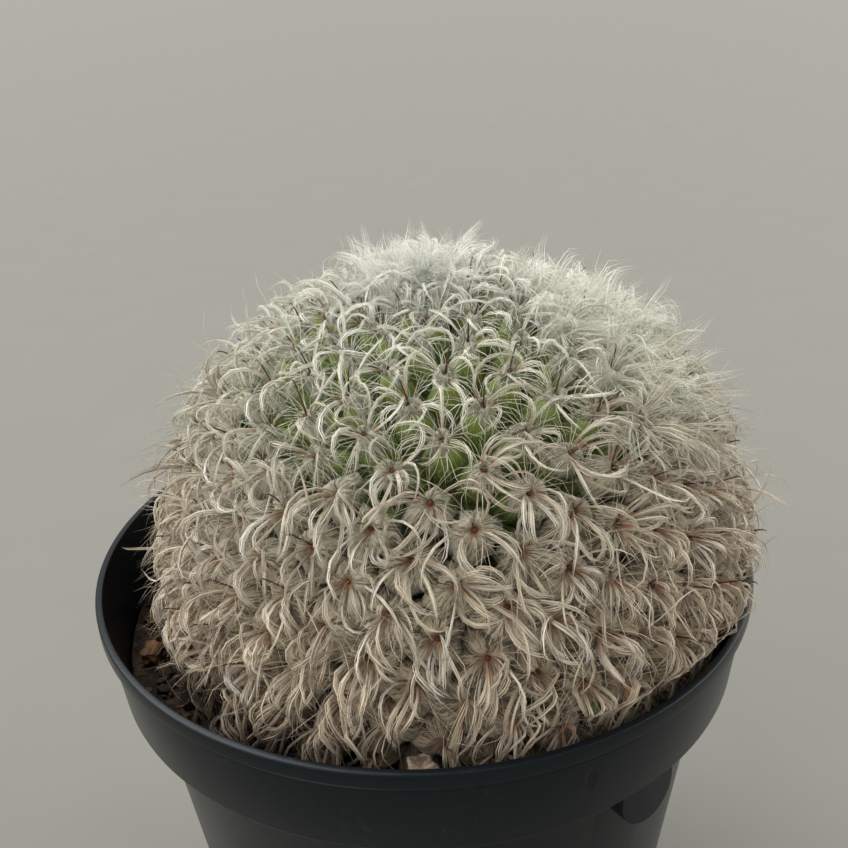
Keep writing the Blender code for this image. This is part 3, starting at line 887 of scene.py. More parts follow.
# %% [markdown]
# ## Where the stars stand
# The tubercles follow a golden-angle spiral, which is how such a plant grows: each new one turns by about
# 137.5 degrees from the last. Near the growing point they are smaller and closer together, and the
# growing point itself leans a little to the left. Every direction from the plant's centre gives a point
# on its skin and the way straight out of it.

# %% Tubercle directions
SPIRAL_TURNS = 392
LOWEST_AREOLE = 103.0
CROWN_CROWDING = 1.8
CROWN_ANGLE = 16.0
CROWN_LEAN = 7.0
GOLDEN_ANGLE = math.pi * (3.0 - math.sqrt(5.0))


def spiral(count, lowest):
    """Unit directions, and their angles from straight up, along a golden-angle spiral."""
    polar = np.linspace(0.0, math.radians(lowest), 4001)
    crowding = 1.0 + CROWN_CROWDING * np.exp(-((np.degrees(polar) / CROWN_ANGLE) ** 2))
    heaped = np.concatenate([[0.0], np.cumsum((np.sin(polar) * crowding)[1:])])
    wanted = (np.arange(count) + 0.5) / count * heaped[-1]
    angle = np.interp(wanted, heaped, polar)
    around = np.arange(count) * GOLDEN_ANGLE
    ways = np.stack([np.sin(angle) * np.cos(around), np.sin(angle) * np.sin(around), np.cos(angle)], -1)
    return ways, angle


def on_skin(ways, lift):
    """Points at a height over the stem's skin."""
    lift = np.asarray(lift)[..., None]
    across = (STEM_RADIUS + lift) * np.ones(3)
    across[..., 2] += STEM_HEIGHT - STEM_RADIUS
    return PLANT_CENTRE + ways * across


def outward(ways):
    """The way straight out of the skin."""
    return unit(ways / STEM_SIZE)


def lean_left(ways, degrees):
    """Turn directions about the Y axis, so that what stood on top leans towards -X."""
    sine, cosine = math.sin(math.radians(degrees)), math.cos(math.radians(degrees))
    x, y, z = ways.T
    return np.stack([x * cosine - z * sine, y, x * sine + z * cosine], -1)


star_ways, star_grown = spiral(SPIRAL_TURNS, LOWEST_AREOLE + CROWN_LEAN)
star_ways = lean_left(star_ways, CROWN_LEAN)
star_steep = np.degrees(np.arccos(star_ways[:, 2]))
kept = star_steep < LOWEST_AREOLE
star_ways, star_steep, star_degrees = star_ways[kept], star_steep[kept], np.degrees(star_grown[kept])
AREOLES = len(star_ways)
star_out = outward(star_ways)
star_hearts = on_skin(star_ways, TUBERCLE_LIFT)
apart = np.linalg.norm(star_hearts[:, None] - star_hearts[None], axis=-1)
nearest = np.sort(apart, axis=1)[:, 1:4].mean(1)
print("stars", AREOLES, "spaced", round(nearest.min() * 1000, 2), "to", round(nearest.max() * 1000, 2), "mm")

# %% [markdown]
# ## The green stem
# Between the stars the green stem shows. Its core is a ball, drawn down into a neck that stands in the
# soil. A tubercle is a soft cone, modelled once from a ball of few faces and copied for every star, a
# little turned and scaled each time.

# %% Stem core
CORE_CUT = -0.40
NECK_TAPER = 0.92

core = add(bpy.ops.mesh.primitive_uv_sphere_add, segments=64, ring_count=32, radius=1.0)
cut_below(core, CORE_CUT)
core_points = np.array([vertex.co for vertex in core.data.vertices])
flat = core_points[:, 2] < CORE_CUT + 0.0001
core_placed = PLANT_CENTRE + core_points * STEM_SIZE
core_placed[flat, :2] = PLANT_CENTRE[:2] + (core_placed[flat, :2] - PLANT_CENTRE[:2]) * NECK_TAPER
core_placed[flat, 2] = SOIL_HEIGHT - NECK_DEPTH
set_places(core, core_placed)
print("core", triangles(core), "triangles")

# %% Tubercles
TUBERCLE_SPREAD = 0.56
TUBERCLE_ROOT = 0.0016


def model_tubercle():
    """A soft cone, one high and one across at its foot, which is open where it sits in the stem."""
    cone = add(bpy.ops.mesh.primitive_uv_sphere_add, segments=8, ring_count=6, radius=1.0)
    cut_below(cone, 0.0)
    for vertex in cone.data.vertices:
        squeeze = 1.0 - 0.30 * vertex.co.z
        vertex.co.x *= squeeze
        vertex.co.y *= squeeze
    return cone


def frames_of(ways):
    """Two level directions for every way out: down the side of the plant, and round it."""
    down = DOWN - ways * -ways[:, 2:3]
    steep = np.linalg.norm(down, axis=1, keepdims=True)
    down = np.where(steep > 0.02, down / np.maximum(steep, 1e-9), np.array((0.0, -1.0, 0.0)))
    down = unit(down - (down * ways).sum(1, keepdims=True) * ways)
    return down, np.cross(ways, down)


def on_every_star(points, feet, width, height):
    """One shape's points at the foot of every star, each copy with its own width and height."""
    width, height = width[:, None, None], np.reshape(height, (-1, 1, 1))
    return (
        feet[:, None]
        + points[None, :, :1] * width * star_side[:, None]
        + points[None, :, 1:2] * width * -star_down[:, None]
        + points[None, :, 2:] * height * star_out[:, None]
    )


tubercle_points, tubercle_faces = read_shape(model_tubercle())
star_down, star_side = frames_of(star_out)
width = TUBERCLE_SPREAD * nearest * draw.uniform(0.95, 1.05, AREOLES)
feet = on_skin(star_ways, -TUBERCLE_ROOT)
tubercles = on_every_star(tubercle_points, feet, width, TUBERCLE_LIFT + TUBERCLE_ROOT)
knobs = mesh_object("knobs", *repeat_shape(tubercle_points, tubercle_faces, tubercles))
write_value(knobs, "tip", np.tile(tubercle_points[:, 2], AREOLES))
write_value(core, "tip", np.zeros(len(core.data.vertices)))
write_fan(knobs, np.arctan2(tubercle_points[:, 1], tubercle_points[:, 0]), AREOLES)
choose(knobs, core)
bpy.ops.object.join()
print("stem", triangles(core), "triangles")

# %% [markdown]
# ## Stem colour
# The stem is a fresh green, darker in the furrows, which is painted shade, and lighter and yellower on the
# tips of the tubercles, partly a painted highlight, with fine pale dots in its skin. Pale hairs too fine to
# model are drawn down the sides of the tubercles.

# %% Stem finish
green = Finish("stem green", 0.55, Specular_IOR_Level=0.35)
stem_spot = green.place()
tip = green.value("tip")
mottle = green.grain(stem_spot, 260.0, 3.0)
dots = green.mask(green.cells(stem_spot, 2300.0), 0.30, 0.16)
# Painted shade low on each tubercle and a painted highlight on its tip, over the stem's own green.
skin_green_and_light = green.ramp(
    tip * 0.75 + mottle * 0.25,
    (0.05, (0.045, 0.064, 0.014)),
    (0.45, (0.138, 0.196, 0.032)),
    (0.80, (0.250, 0.325, 0.066)),
    (1.0, (0.340, 0.395, 0.130)),
)
stem_fan = green.wander(green.value("fan", "Vector"), 500.0, 0.35)
down_hairs = green.grain(green.stretch(stem_fan, (8.0, 8.0, 3.0)), 1.0, 2.0, 0.7)
hairy = green.mask(down_hairs, 0.50, 0.60) * green.mask(tip, 0.02, 0.30)
dotted = green.blend(dots * 0.35, skin_green_and_light, (0.42, 0.48, 0.30))
green.feed("Base Color", green.blend(hairy * 0.52, dotted, (0.46, 0.51, 0.34)))
green.bump(green.grain(stem_spot, 2600.0), 0.00006, 0.5)
finish_piece(core, "stem", green.material, "cactus_wool", "cactus", smooth=60.0)

# %% [markdown]
# ## One strand
# All hair on the plant, and every spine, is a copy of one shape: a long thin cone of three sides, cut
# across by a few rings. A copy is laid along its own curve, so a ring of the cone sits at each point of
# the curve. Three sides are enough for a hair: it is far thinner than it is long.

# %% Strand shapes
def model_strand(rings):
    """A three-sided cone, one high, cut into rings. Gives ring number and place across for its points."""
    size = {"radius1": 1.0, "radius2": 0.0, "depth": 1.0}
    cone = add(bpy.ops.mesh.primitive_cone_add, vertices=3, location=(0.0, 0.0, 0.5), **size)
    settle(cone)
    edit(cone)
    for step in range(1, rings - 1):
        bpy.ops.mesh.bisect(plane_co=(0.0, 0.0, step / (rings - 1)), plane_no=(0.0, 0.0, 1.0))
        bpy.ops.mesh.select_all(action="SELECT")
    done()
    points, faces = read_shape(cone)
    ring = np.rint(points[:, 2] * (rings - 1)).astype(int)
    across = points[:, :2] / np.maximum(1.0 - points[:, 2:], 1e-6)
    across[ring == rings - 1] = 0.0
    return ring, across, faces


STRANDS = {rings: model_strand(rings) for rings in (4, 5, 6, 7, 10)}
print("strand triangles:", {rings: len(shape[2]) for rings, shape in STRANDS.items()})

# %% [markdown]
# ## Curves for the hair
# A lock starts at the heart of a star, leaves it at a slope and then bends: down under its weight, back
# to the skin, and round in a curl that gets tighter towards its tip. So a curve is drawn in small
# steps, and every step turns its heading a little. Then the curve is held off the skin, above the soil
# and inside the pot's rim.

# %% Curve tools
def turn_rows(rows, axes, angles):
    """Turn vectors about unit axes by angles."""
    cosine = np.cos(angles)[:, None]
    sine = np.sin(angles)[:, None]
    along = (rows * axes).sum(1, keepdims=True) * axes
    return rows * cosine + np.cross(axes, rows) * sine + along * (1.0 - cosine)


def squeeze(value, limit, width):
    """Values kept under a limit, eased over a width."""
    start = limit - width
    over = np.maximum(value - start, 0.0)
    return np.where(value <= start, value, limit - width * np.exp(-over / width))


def skin_lift(points):
    """About how high points are over the stem's skin."""
    return (np.linalg.norm((points - PLANT_CENTRE) / STEM_SIZE, axis=-1) - 1.0) * STEM_RADIUS


SOIL_CLEAR = 0.0011
WALL_CLEAR = 0.0006
SKIN_EASE = 0.0012
SOIL_EASE = 0.0022
WALL_EASE = 0.0024
RIM_FLARE = 1.2
LOWEST_LIFT = 0.0030
CURVE_STEPS = 14


def hold(points, lowest=LOWEST_LIFT):
    """Hold points off the skin, above the soil and inside the pot's rim."""
    lift = skin_lift(points)
    raised = -squeeze(-lift, -lowest, SKIN_EASE)
    stretch = (STEM_RADIUS + raised) / (STEM_RADIUS + lift)
    points = PLANT_CENTRE + (points - PLANT_CENTRE) * stretch[..., None]
    points[..., 2] = -squeeze(-points[..., 2], -(SOIL_HEIGHT + SOIL_CLEAR), SOIL_EASE)
    radius = np.hypot(points[..., 0], points[..., 1])
    level = points[..., 2]
    share = np.clip((level - LEDGE_HEIGHT) / (RIM_HEIGHT - LEDGE_HEIGHT), 0.0, 1.0)
    limit = BAND_FOOT_RADIUS + (BAND_TOP_RADIUS - BAND_FOOT_RADIUS) * share - WALL - WALL_CLEAR
    limit = limit + RIM_FLARE * np.maximum(level - RIM_HEIGHT - GAP, 0.0)
    points[..., :2] *= (squeeze(radius, limit, WALL_EASE) / np.maximum(radius, 1e-9))[..., None]
    return points


def draw_curves(starts, headings, axes, bends, lengths, tightening, even=0.25, steps=CURVE_STEPS):
    """Curves from starting points. Each heading turns about an axis by a bend in all, most near the tip."""
    share = (np.arange(steps) + 0.5) / steps
    weight = even + share[None] ** tightening[:, None]
    weight = weight / weight.sum(1, keepdims=True)
    points = [starts]
    heading = headings
    for step in range(steps):
        heading = turn_rows(heading, axes, bends * weight[:, step])
        points.append(points[-1] + heading * (lengths / steps)[:, None])
    return np.stack(points, 1)


def frames_along(points, hint):
    """Heading and two directions across it at every point of the curves, with no sudden twist."""
    heading = unit(np.gradient(points, axis=1))
    first = []
    side = hint
    for step in range(points.shape[1]):
        ahead = heading[:, step]
        side = unit(side - (side * ahead).sum(1, keepdims=True) * ahead)
        first.append(side)
    first = np.stack(first, 1)
    return first, np.cross(heading, first)


def even_shares(rings):
    """Even shares of a length, from 0 to 1."""
    return np.arange(rings) / (rings - 1)


def resample(points, shares, reach):
    """The same curves with a point at each share of the length, as far as they reach."""
    steps = points.shape[1] - 1
    at = shares[None] * reach[:, None] * steps
    low = np.minimum(at.astype(int), steps - 1)
    part = (at - low)[..., None]
    rows = np.arange(len(points))[:, None]
    return points[rows, low] * (1.0 - part) + points[rows, low + 1] * part


print("curve tools ready")

# %% [markdown]
# ## Laying strands along curves
# A lock is a bundle. Its strands leave the heart a little apart, spread in the middle and come together
# again at the tip, which makes the pointed tufts. So every strand follows its lock's curve at its own
# distance from it. Four numbers are kept for each point, for the colour: how far along the strand it is,
# how old the star is, made younger on the bright side as painted light, a tone for the strand, and where
# it is across the strand, for fine streaks.

# %% Strand laying
STREAKS_PER_METRE = 5000.0
STREAK_SHIFT = 60.0


class Wool:
    """Strands collected for one piece."""

    def __init__(self, name):
        self.name = name
        self.points = []
        self.faces = []
        self.values = {"along": [], "age": [], "tone": [], "strip": []}
        self.count = 0

    def lay(self, curves, hint, wide, thin, age, tone, root=0.35):
        """Lay one strand along each curve: how wide it is beside the hint, and how thin along it."""
        ring, across, faces = STRANDS[curves.shape[1]]
        free = ~over_stone(curves)
        curves, hint, wide, thin, age, tone = (rows[free] for rows in (curves, hint, wide, thin, age, tone))
        first, second = frames_along(curves, hint)
        share = even_shares(curves.shape[1])
        profile = (1.0 - share**1.8) * (1.0 - root * (1.0 - share) ** 4)
        placed = (
            curves[:, ring]
            + (0.5 * thin[:, None] * profile[ring] * across[:, 0])[..., None] * first[:, ring]
            + (0.5 * wide[:, None] * profile[ring] * across[:, 1])[..., None] * second[:, ring]
        )
        strands, size = placed.shape[:2]
        shift = self.count + np.arange(strands)[:, None, None] * size
        self.points.append(placed.reshape(-1, 3))
        self.faces.append((faces[None] + shift).reshape(-1, 3))
        self.values["along"].append(np.tile(share[ring], strands))
        self.values["age"].append(np.repeat(age, size))
        ridges = tone[:, None] + 0.24 * across[None, :, 0] * (across[None, :, 1] + 0.6)
        self.values["tone"].append(np.clip(ridges, 0.0, 1.0).ravel())
        streaks = STREAKS_PER_METRE * wide[:, None] * across[None, :, 1]
        streaks = streaks + STREAK_SHIFT * draw.uniform(size=strands)[:, None]
        self.values["strip"].append(streaks.ravel())
        self.count += strands * size

    def weave(self):
        """Make the piece."""
        piece = mesh_object(self.name, np.concatenate(self.points), np.concatenate(self.faces))
        for name, values in self.values.items():
            write_value(piece, name, np.concatenate(values))
        return piece


def beside(curves, hint, spread, loose):
    """The same curves, each moved a little to its side, and together again at the tip unless loose."""
    locks, steps = curves.shape[:2]
    first, second = frames_along(curves, hint)
    share = np.linspace(0.0, 1.0, steps)
    opening = 0.22 + 2.6 * share * (1.0 - share) ** 0.8 + loose * share**2
    angle = draw.uniform(0.0, 2.0 * math.pi, locks)[:, None]
    angle = angle + share[None] * draw.uniform(-1.2, 1.2, locks)[:, None]
    far = (spread * np.sqrt(draw.uniform(0.15, 1.0, locks)))[:, None] * opening[None]
    return curves + (0.6 * far * np.cos(angle))[..., None] * first + (far * np.sin(angle))[..., None] * second


print("wool tools ready")

# %% [markdown]
# ## Locks of a star
# Each star is a puff. Its locks rise from the heart at every slope and arch over, as water does in a
# fountain, and on the sides of the plant they all bend down. Most of them draw together in two pointed
# tufts, which lie beside the heart near the top and hang under it low down; the rest curl on their own.
# The direction in which they lean changes slowly over the plant, so that neighbours flow together as
# combed hair does.
#
# A few numbers for each star say where it stands. They go from 0 to 1: how far it hangs, whether it is
# on the bright side or on the left, and whether it is on the ridge between crown and bright side or
# behind the crown, where the hair is short.

# %% Numbers for each star
FLOW_SIZE = 0.014
FLOW_LAYERS = (Vector((0.0, 0.0, 0.0)), Vector((0.0, 0.0, 11.3)), Vector((0.0, 0.0, 23.7)))
BRIGHT_SIDE = ((0.74, 0.04, 0.67), 0.76, 0.95)
LEFT_SIDE = ((-0.64, 0.10, 0.76), 0.84, 0.96)
RIDGE = ((0.33, 0.21, 0.92), 0.93, 0.985)
BACK = ((-0.20, 0.26, 0.945), 0.93, 0.985)


def smooth_step(value, low, high):
    """0 below low, 1 above high, and a smooth step between them."""
    share = np.clip((value - low) / (high - low), 0.0, 1.0)
    return share * share * (3.0 - 2.0 * share)


def flow(points):
    """A slow swirl over the plant, about one long."""
    places = [Vector(point) / FLOW_SIZE for point in points]
    return np.array([[noise.noise(place + layer) for layer in FLOW_LAYERS] for place in places])


def facing(way, low, high):
    """0 for the stars turned away from a direction, 1 for those turned to it. Low and high are cosines."""
    return smooth_step(star_out @ unit(np.array(way)), low, high)


star_flow = flow(star_hearts)
star_hang = smooth_step(star_steep, 25.0, 75.0)
star_low = smooth_step(star_steep, 56.0, 80.0)[:, None]
star_far_side, star_left_side = facing(*BRIGHT_SIDE), facing(*LEFT_SIDE)
star_ridge, star_back = facing(*RIDGE), facing(*BACK)
star_haze = star_far_side * (1.0 - smooth_step(star_degrees, 54.0, 74.0))
star_haze = star_haze * smooth_step(star_degrees, 8.0, 20.0)
star_felt = np.maximum(star_haze, 1.0 - smooth_step(star_degrees, 7.0, 12.0))
# Painted light: stars on the bright side count as younger, so their wool and puffs are painted whiter.
star_age_and_light = np.clip(star_degrees / LOWEST_AREOLE - 0.20 * star_haze, 0.0, 1.0)
star_short = np.maximum(0.52 * star_ridge, 0.34 * star_back)
star_long = (1.08 - 0.10 * star_far_side + 0.30 * star_left_side) * (1.0 - star_short)
print("stars with short hair:", int((star_short > 0.17).sum()))

# %% Locks that curl on their own
CURL_START = 0.0004
CURL_ROOT = 0.0002


def round_star(stars, count):
    """For the locks of some stars: the star of each, and the level direction in which it starts."""
    owner = np.repeat(stars, count)
    around = np.tile(np.arange(count), len(stars)) + draw.uniform(-0.4, 0.4, len(owner))
    around = around / count * 2.0 * math.pi
    around += np.repeat(draw.uniform(0.0, 2.0 * math.pi, len(stars)), count)
    return owner, around


def level_way(owner, around):
    """The direction along the skin at an angle from straight down the plant's side."""
    return np.cos(around)[:, None] * star_down[owner] + np.sin(around)[:, None] * star_side[owner]


def curl_curves(stars, count, slope, length, bend, spin=0.6, wander=0.25, tightening=(0.8, 2.0)):
    """Locks that leave at a slope between two, and curl down, in, and round."""
    owner, around = round_star(stars, count)
    total = len(owner)
    out, hang = star_out[owner], star_hang[owner]
    level = level_way(owner, around)
    level = unit(level + (0.35 * hang)[:, None] * star_down[owner] + 0.5 * star_flow[owner])
    level = unit(level - (level * out).sum(1, keepdims=True) * out)
    tilt = draw.uniform(*slope, total)
    heading = np.cos(tilt)[:, None] * level + np.sin(tilt)[:, None] * out
    pull = 0.55 * level + (0.25 + hang)[:, None] * DOWN - 0.55 * out + 0.6 * star_flow[owner]
    axis = np.cross(heading, unit(pull))
    curl = -np.sign(np.sin(around) + draw.normal(0.0, 0.35, total))
    axis = unit(axis + (spin * curl)[:, None] * out + wander * draw.normal(size=(total, 3)))
    reach = draw.uniform(0.80, 1.12, total) * length * star_long[owner]
    turned = bend * draw.uniform(0.65, 1.30, total)
    start = star_hearts[owner] + CURL_START * level - CURL_ROOT * out
    curves = draw_curves(start, heading, axis, turned, reach, draw.uniform(*tightening, total))
    return curves, owner, draw.beta(1.3, 1.8, total)


# %% Locks that gather in tufts
TUFT_FAR = (0.0036, 0.0056)
TUFT_HIGH = (-0.0002, 0.0016)
TUFT_LEFT_LIFT = 0.0016
TUFT_DROP = (0.0046, 0.0082)
TUFT_OUT = (0.0012, 0.0034)
TUFT_ASIDE = 0.0017
TUFT_START = 0.0003
TUFT_ROOT = 0.0001
TUFT_WIDE = 0.00034
TUFT_LONG = 0.0006
TUFT_FLOW = 0.0014
ARCH_UP = 0.0034
ARCH_DOWN = 0.0010

tuft_turn = (0.8 - 0.35 * star_low) * draw.normal(0.0, 1.0, (AREOLES, 2)) + 0.35 * np.sign(star_side[:, :1])
tuft_turn[:, 1] += math.pi * (1.0 - 0.60 * star_hang) * np.sign(draw.uniform(-1.0, 1.0, AREOLES))
tuft_far = draw.uniform(*TUFT_FAR, (AREOLES, 2)) * (1.0 + 0.25 * star_hang[:, None])
tuft_high = draw.uniform(*TUFT_HIGH, (AREOLES, 2)) + TUFT_LEFT_LIFT * star_left_side[:, None]
tuft_tone = draw.beta(1.0, 1.2, (AREOLES, 2))
tuft_ways = np.stack([level_way(np.arange(AREOLES), tuft_turn[:, number]) for number in range(2)], 1)
tufts_round = tuft_far[..., None] * tuft_ways + tuft_high[..., None] * star_out[:, None]
tufts_hung = (
    draw.uniform(*TUFT_DROP, (AREOLES, 2, 1)) * DOWN
    + draw.uniform(*TUFT_OUT, (AREOLES, 2, 1)) * star_out[:, None]
    + draw.normal(0.0, TUFT_ASIDE, (AREOLES, 2, 1)) * star_side[:, None]
)
tuft_ends = star_hearts[:, None] + tufts_round + (tufts_hung - tufts_round) * star_low[..., None]


def tuft_curves(stars, count, slope):
    """Locks that sweep round from a star, or hang from it, and come together in one of its two tufts."""
    owner = np.repeat(stars, count)
    total = len(owner)
    rows = np.arange(total)
    which = (rows % 3 == 2).astype(int)
    side = np.where(rows % 2 == 0, 1.0, -1.0)
    low = star_low[owner]
    turn = tuft_turn[owner, which]
    around = turn + side * draw.uniform(0.2, 2.0, total)
    out = star_out[owner]
    level = level_way(owner, around)
    tilt = draw.uniform(*slope, total)
    heading = np.cos(tilt)[:, None] * level + np.sin(tilt)[:, None] * out
    across = level_way(owner, turn + 0.5 * math.pi * side)
    start = star_hearts[owner] + TUFT_START * level - TUFT_ROOT * out
    end = tuft_ends[owner, which] + TUFT_WIDE * draw.normal(size=(total, 3)) + TUFT_FLOW * star_flow[owner]
    end = end + (draw.normal(0.0, TUFT_LONG, total))[:, None] * (tuft_ways[owner, which] + low * DOWN)
    span = np.linalg.norm(end - start, axis=1)
    rise = 1.0 - 0.40 * star_ridge[owner] - 0.12 * star_far_side[owner]
    first = start + (rise * (0.45 * span + ARCH_UP))[:, None] * heading
    coming = (0.75 - 0.55 * low) * across + (0.60 - 0.25 * low) * out - 0.90 * low * DOWN
    last = end + (0.50 * span + ARCH_DOWN)[:, None] * coming
    share = np.linspace(0.0, 1.0, CURVE_STEPS + 1)[None, :, None]
    back = 1.0 - share
    curves = (
        back**3 * start[:, None]
        + 3.0 * back**2 * share * first[:, None]
        + 3.0 * back * share**2 * last[:, None]
        + share**3 * end[:, None]
    )
    return curves, owner, 0.75 * tuft_tone[owner, which] + 0.25 * draw.uniform(0.0, 1.0, total)


# %% Strands of a lock and fluff
BROAD = 0.00050
FINE = 0.00014
SPREAD = 0.00034
FLAT = 0.28
FULL = 0.8
SPOKE_LENGTH = 0.0040
SPOKE_FINE = 0.00013


def lay_locks(wool, curves, owner, tone, strands, spread=SPREAD, broad=BROAD, fine=FINE, rings=7, loose=0.0):
    """Lay each lock as one broad strand and a few fine ones beside it."""
    out, age, locks = star_out[owner], star_age_and_light[owner], len(owner)
    shares = even_shares(rings)
    size = draw.uniform(0.7, 1.25, locks)
    middle = hold(resample(curves, shares, draw.uniform(0.85, 0.97, locks)))
    wool.lay(middle, out, broad * size, FLAT * broad * size, age, tone, root=0.75)
    for _ in range(strands):
        laid = hold(resample(beside(curves, out, spread, loose), shares, draw.uniform(0.80, 1.0, locks)))
        thick = fine * draw.uniform(0.75, 1.35, locks)
        shade = np.clip(tone + draw.normal(0.0, 0.16, locks), 0.0, 1.0)
        wool.lay(laid, out, thick, FULL * thick, age, shade)


def lay_hairs(wool, curves, owner, rings, reach, thickness, tones, root=0.35):
    """Lay single hairs, each with a reach, a thickness and a tone between two."""
    hairs = len(owner)
    laid = hold(resample(curves, even_shares(rings), draw.uniform(*reach, hairs)))
    fine, low, high = thickness
    thick = fine * draw.uniform(low, high, hairs)
    wool.lay(laid, star_out[owner], thick, FULL * thick, star_age_and_light[owner], draw.uniform(*tones, hairs), root)


def fluff(wool, stars, count, slope, length, bend, fine=0.00010, rings=5, wave=0.00022, pale=0.5):
    """Single fine hairs that waver."""
    curves, owner, _ = curl_curves(stars, count, slope, length, bend, 0.9, 0.8, (0.3, 1.2))
    growing = np.linspace(0.0, 1.0, curves.shape[1])[None, :, None]
    curves = curves + wave * draw.normal(size=curves.shape) * growing
    lay_hairs(wool, curves, owner, rings, (0.6, 1.0), (fine, 0.7, 1.3), (0.0, pale))


def spokes(wool, stars, count):
    """Short, nearly straight hairs that ray out of a heart on all sides."""
    curves, owner, _ = curl_curves(stars, count, (0.10, 0.75), SPOKE_LENGTH, 0.9, 0.2, 0.15, (0.5, 1.2))
    lay_hairs(wool, curves, owner, 4, (0.7, 1.0), (SPOKE_FINE, 0.8, 1.4), (0.0, 0.60), root=0.2)


def stars_between(low, high):
    """The stars whose angle from straight up lies between two angles, in degrees."""
    return np.nonzero((star_degrees >= low) & (star_degrees < high))[0]


print("stars by band:", [len(stars_between(low, low + 20)) for low in range(0, 120, 20)])

# %% [markdown]
# ## The wool's colour
# Fresh wool at the growing point is silver white. Lower down it is cream, and the oldest wool near the
# soil is tan. A darker band half way down is painted shade, and so is part of the darkest brown at the
# bottom, while on the bright side the wool is painted whiter, as painted light. Every hair is rusty brown
# at its root, which gives the star its warm heart. A few locks are much whiter than the rest, partly by
# their own tone and partly by a painted highlight, and the dullest locks carry painted shade. Fine
# streaks run along the broad strands, so that each looks like many hairs, with painted shade in the gaps
# between the hairs, and the wool near the soil is darker and browner: painted shade, with some soil stain.

# %% Wool finish
UNDARKENED_ABOVE = 0.0804
DARKEST_BELOW = 0.0732


def wool_finish():
    """Silky wool whose colour follows the numbers kept on the strands."""
    made = Finish("cactus wool", 0.45, Specular_IOR_Level=0.40, Sheen_Weight=0.35, Sheen_Roughness=0.4)
    along = made.value("along")
    age = made.value("age")
    tone = made.value("tone")
    patch = made.grain(made.place(), 110.0, 2.0)
    aged_and_lit = age + (patch - 0.5) * 0.35
    # Painted shade: the low stop at 0.52 darkens a band half way down the plant,
    # and the dark last stop partly darkens the wool at the bottom.
    body = made.ramp(
        aged_and_lit,
        (0.0, (0.88, 0.90, 0.845)),
        (0.30, (0.78, 0.785, 0.665)),
        (0.52, (0.635, 0.580, 0.462)),
        (0.76, (0.76, 0.660, 0.520)),
        (0.89, (0.74, 0.625, 0.480)),
        (1.0, (0.34, 0.250, 0.170)),
    )
    # Painted shade on low-tone strands and a painted highlight on high-tone strands, over their own tone.
    shades = (0.0, (0.62, 0.64, 0.60)), (0.30, (0.38, 0.37, 0.29)), (0.58, (0.27, 0.208, 0.140))
    dull_and_shaded = made.blend(0.62, body, made.ramp(aged_and_lit, *shades))
    bright = made.blend(0.66, body, (0.97, 0.960, 0.93))
    strand = made.blend(made.mask(tone, -0.05, 0.50), dull_and_shaded, body)
    strand = made.blend(made.mask(tone, 0.62, 0.95), strand, bright)
    # Painted shade in the gaps between the hairs that a broad strand stands for.
    hairs = made.node("ShaderNodeCombineXYZ", sockets={"X": made.value("strip"), "Y": along * 2.5})
    gap_shade = 1.0 - made.mask(made.grain(hairs, 1.1, 1.0), 0.34, 0.60)
    between = made.ramp(aged_and_lit, (0.10, (0.76, 0.77, 0.74)), (0.50, (0.47, 0.425, 0.36)))
    strand = made.blend(gap_shade * 0.85, strand, between, kind="MULTIPLY")
    root = 1.0 - made.mask(along, 0.04, 0.22)
    strand = made.blend(root * 0.88, strand, (0.52, 0.225, 0.080))
    height = made.node("ShaderNodeSeparateXYZ", sockets={"Vector": made.place()}, output="Z")
    # Near the soil the wool is darker and browner: painted shade, with some soil stain.
    low_shade_and_stain = made.mask(height + (patch - 0.5) * 0.004, UNDARKENED_ABOVE, DARKEST_BELOW)
    made.feed("Base Color", made.blend(low_shade_and_stain * 0.86, strand, (0.110, 0.070, 0.040)))
    return made.material


wool_look = wool_finish()

# %% [markdown]
# ## Puffs
# Under its locks every star is a round puff of matted hair, too fine to model hair by hair. A puff is
# modelled once as a ball and then shaped for every star like a small fountain: it dips at the heart,
# rises, and falls to a ragged hem. Clumps make the hem uneven. At the crown and on the bright side the
# puffs are fuller and higher, and join as felt. The finish draws the hair, as streaks that run out from
# the heart.

# %% Puff shapes
PUFF_SIDES = 18
PUFF_RINGS = 6
PUFF_SHARES = np.array((0.0, 0.16, 0.42, 0.68, 0.88, 1.0, 0.0))
PUFF_HEIGHTS = np.array((-0.0002, 0.0004, 0.0011, 0.0005, -0.0009, -0.0024, -0.0036))
PUFF_LOWEST = 0.0014
PUFF_BASE = 0.0005
PUFF_DOME = 0.0064
PUFF_RIPPLE = 0.00035
PUFF_RIBS = 0.00012
PUFF_SAG = 0.0011
PUFF_FLOW = 0.0012


def model_puff():
    """A ball with a pole at the heart. Gives the ring and the angle of its points, and its faces."""
    ball = add(bpy.ops.mesh.primitive_uv_sphere_add, segments=PUFF_SIDES, ring_count=PUFF_RINGS, radius=1.0)
    points, faces = read_shape(ball)
    ring = np.rint(np.arccos(np.clip(points[:, 2], -1.0, 1.0)) / math.pi * PUFF_RINGS).astype(int)
    return ring, np.arctan2(points[:, 1], points[:, 0]), faces


def clumps(angles, waves):
    """A smooth random wave round each star, about one high."""
    size = (len(star_out), len(waves), 1)
    shift = draw.uniform(0.0, 2.0 * math.pi, size)
    strength = draw.uniform(0.4, 1.0, size) / math.sqrt(len(waves))
    return (strength * np.sin(np.array(waves)[None, :, None] * angles[None, None] + shift)).sum(1)


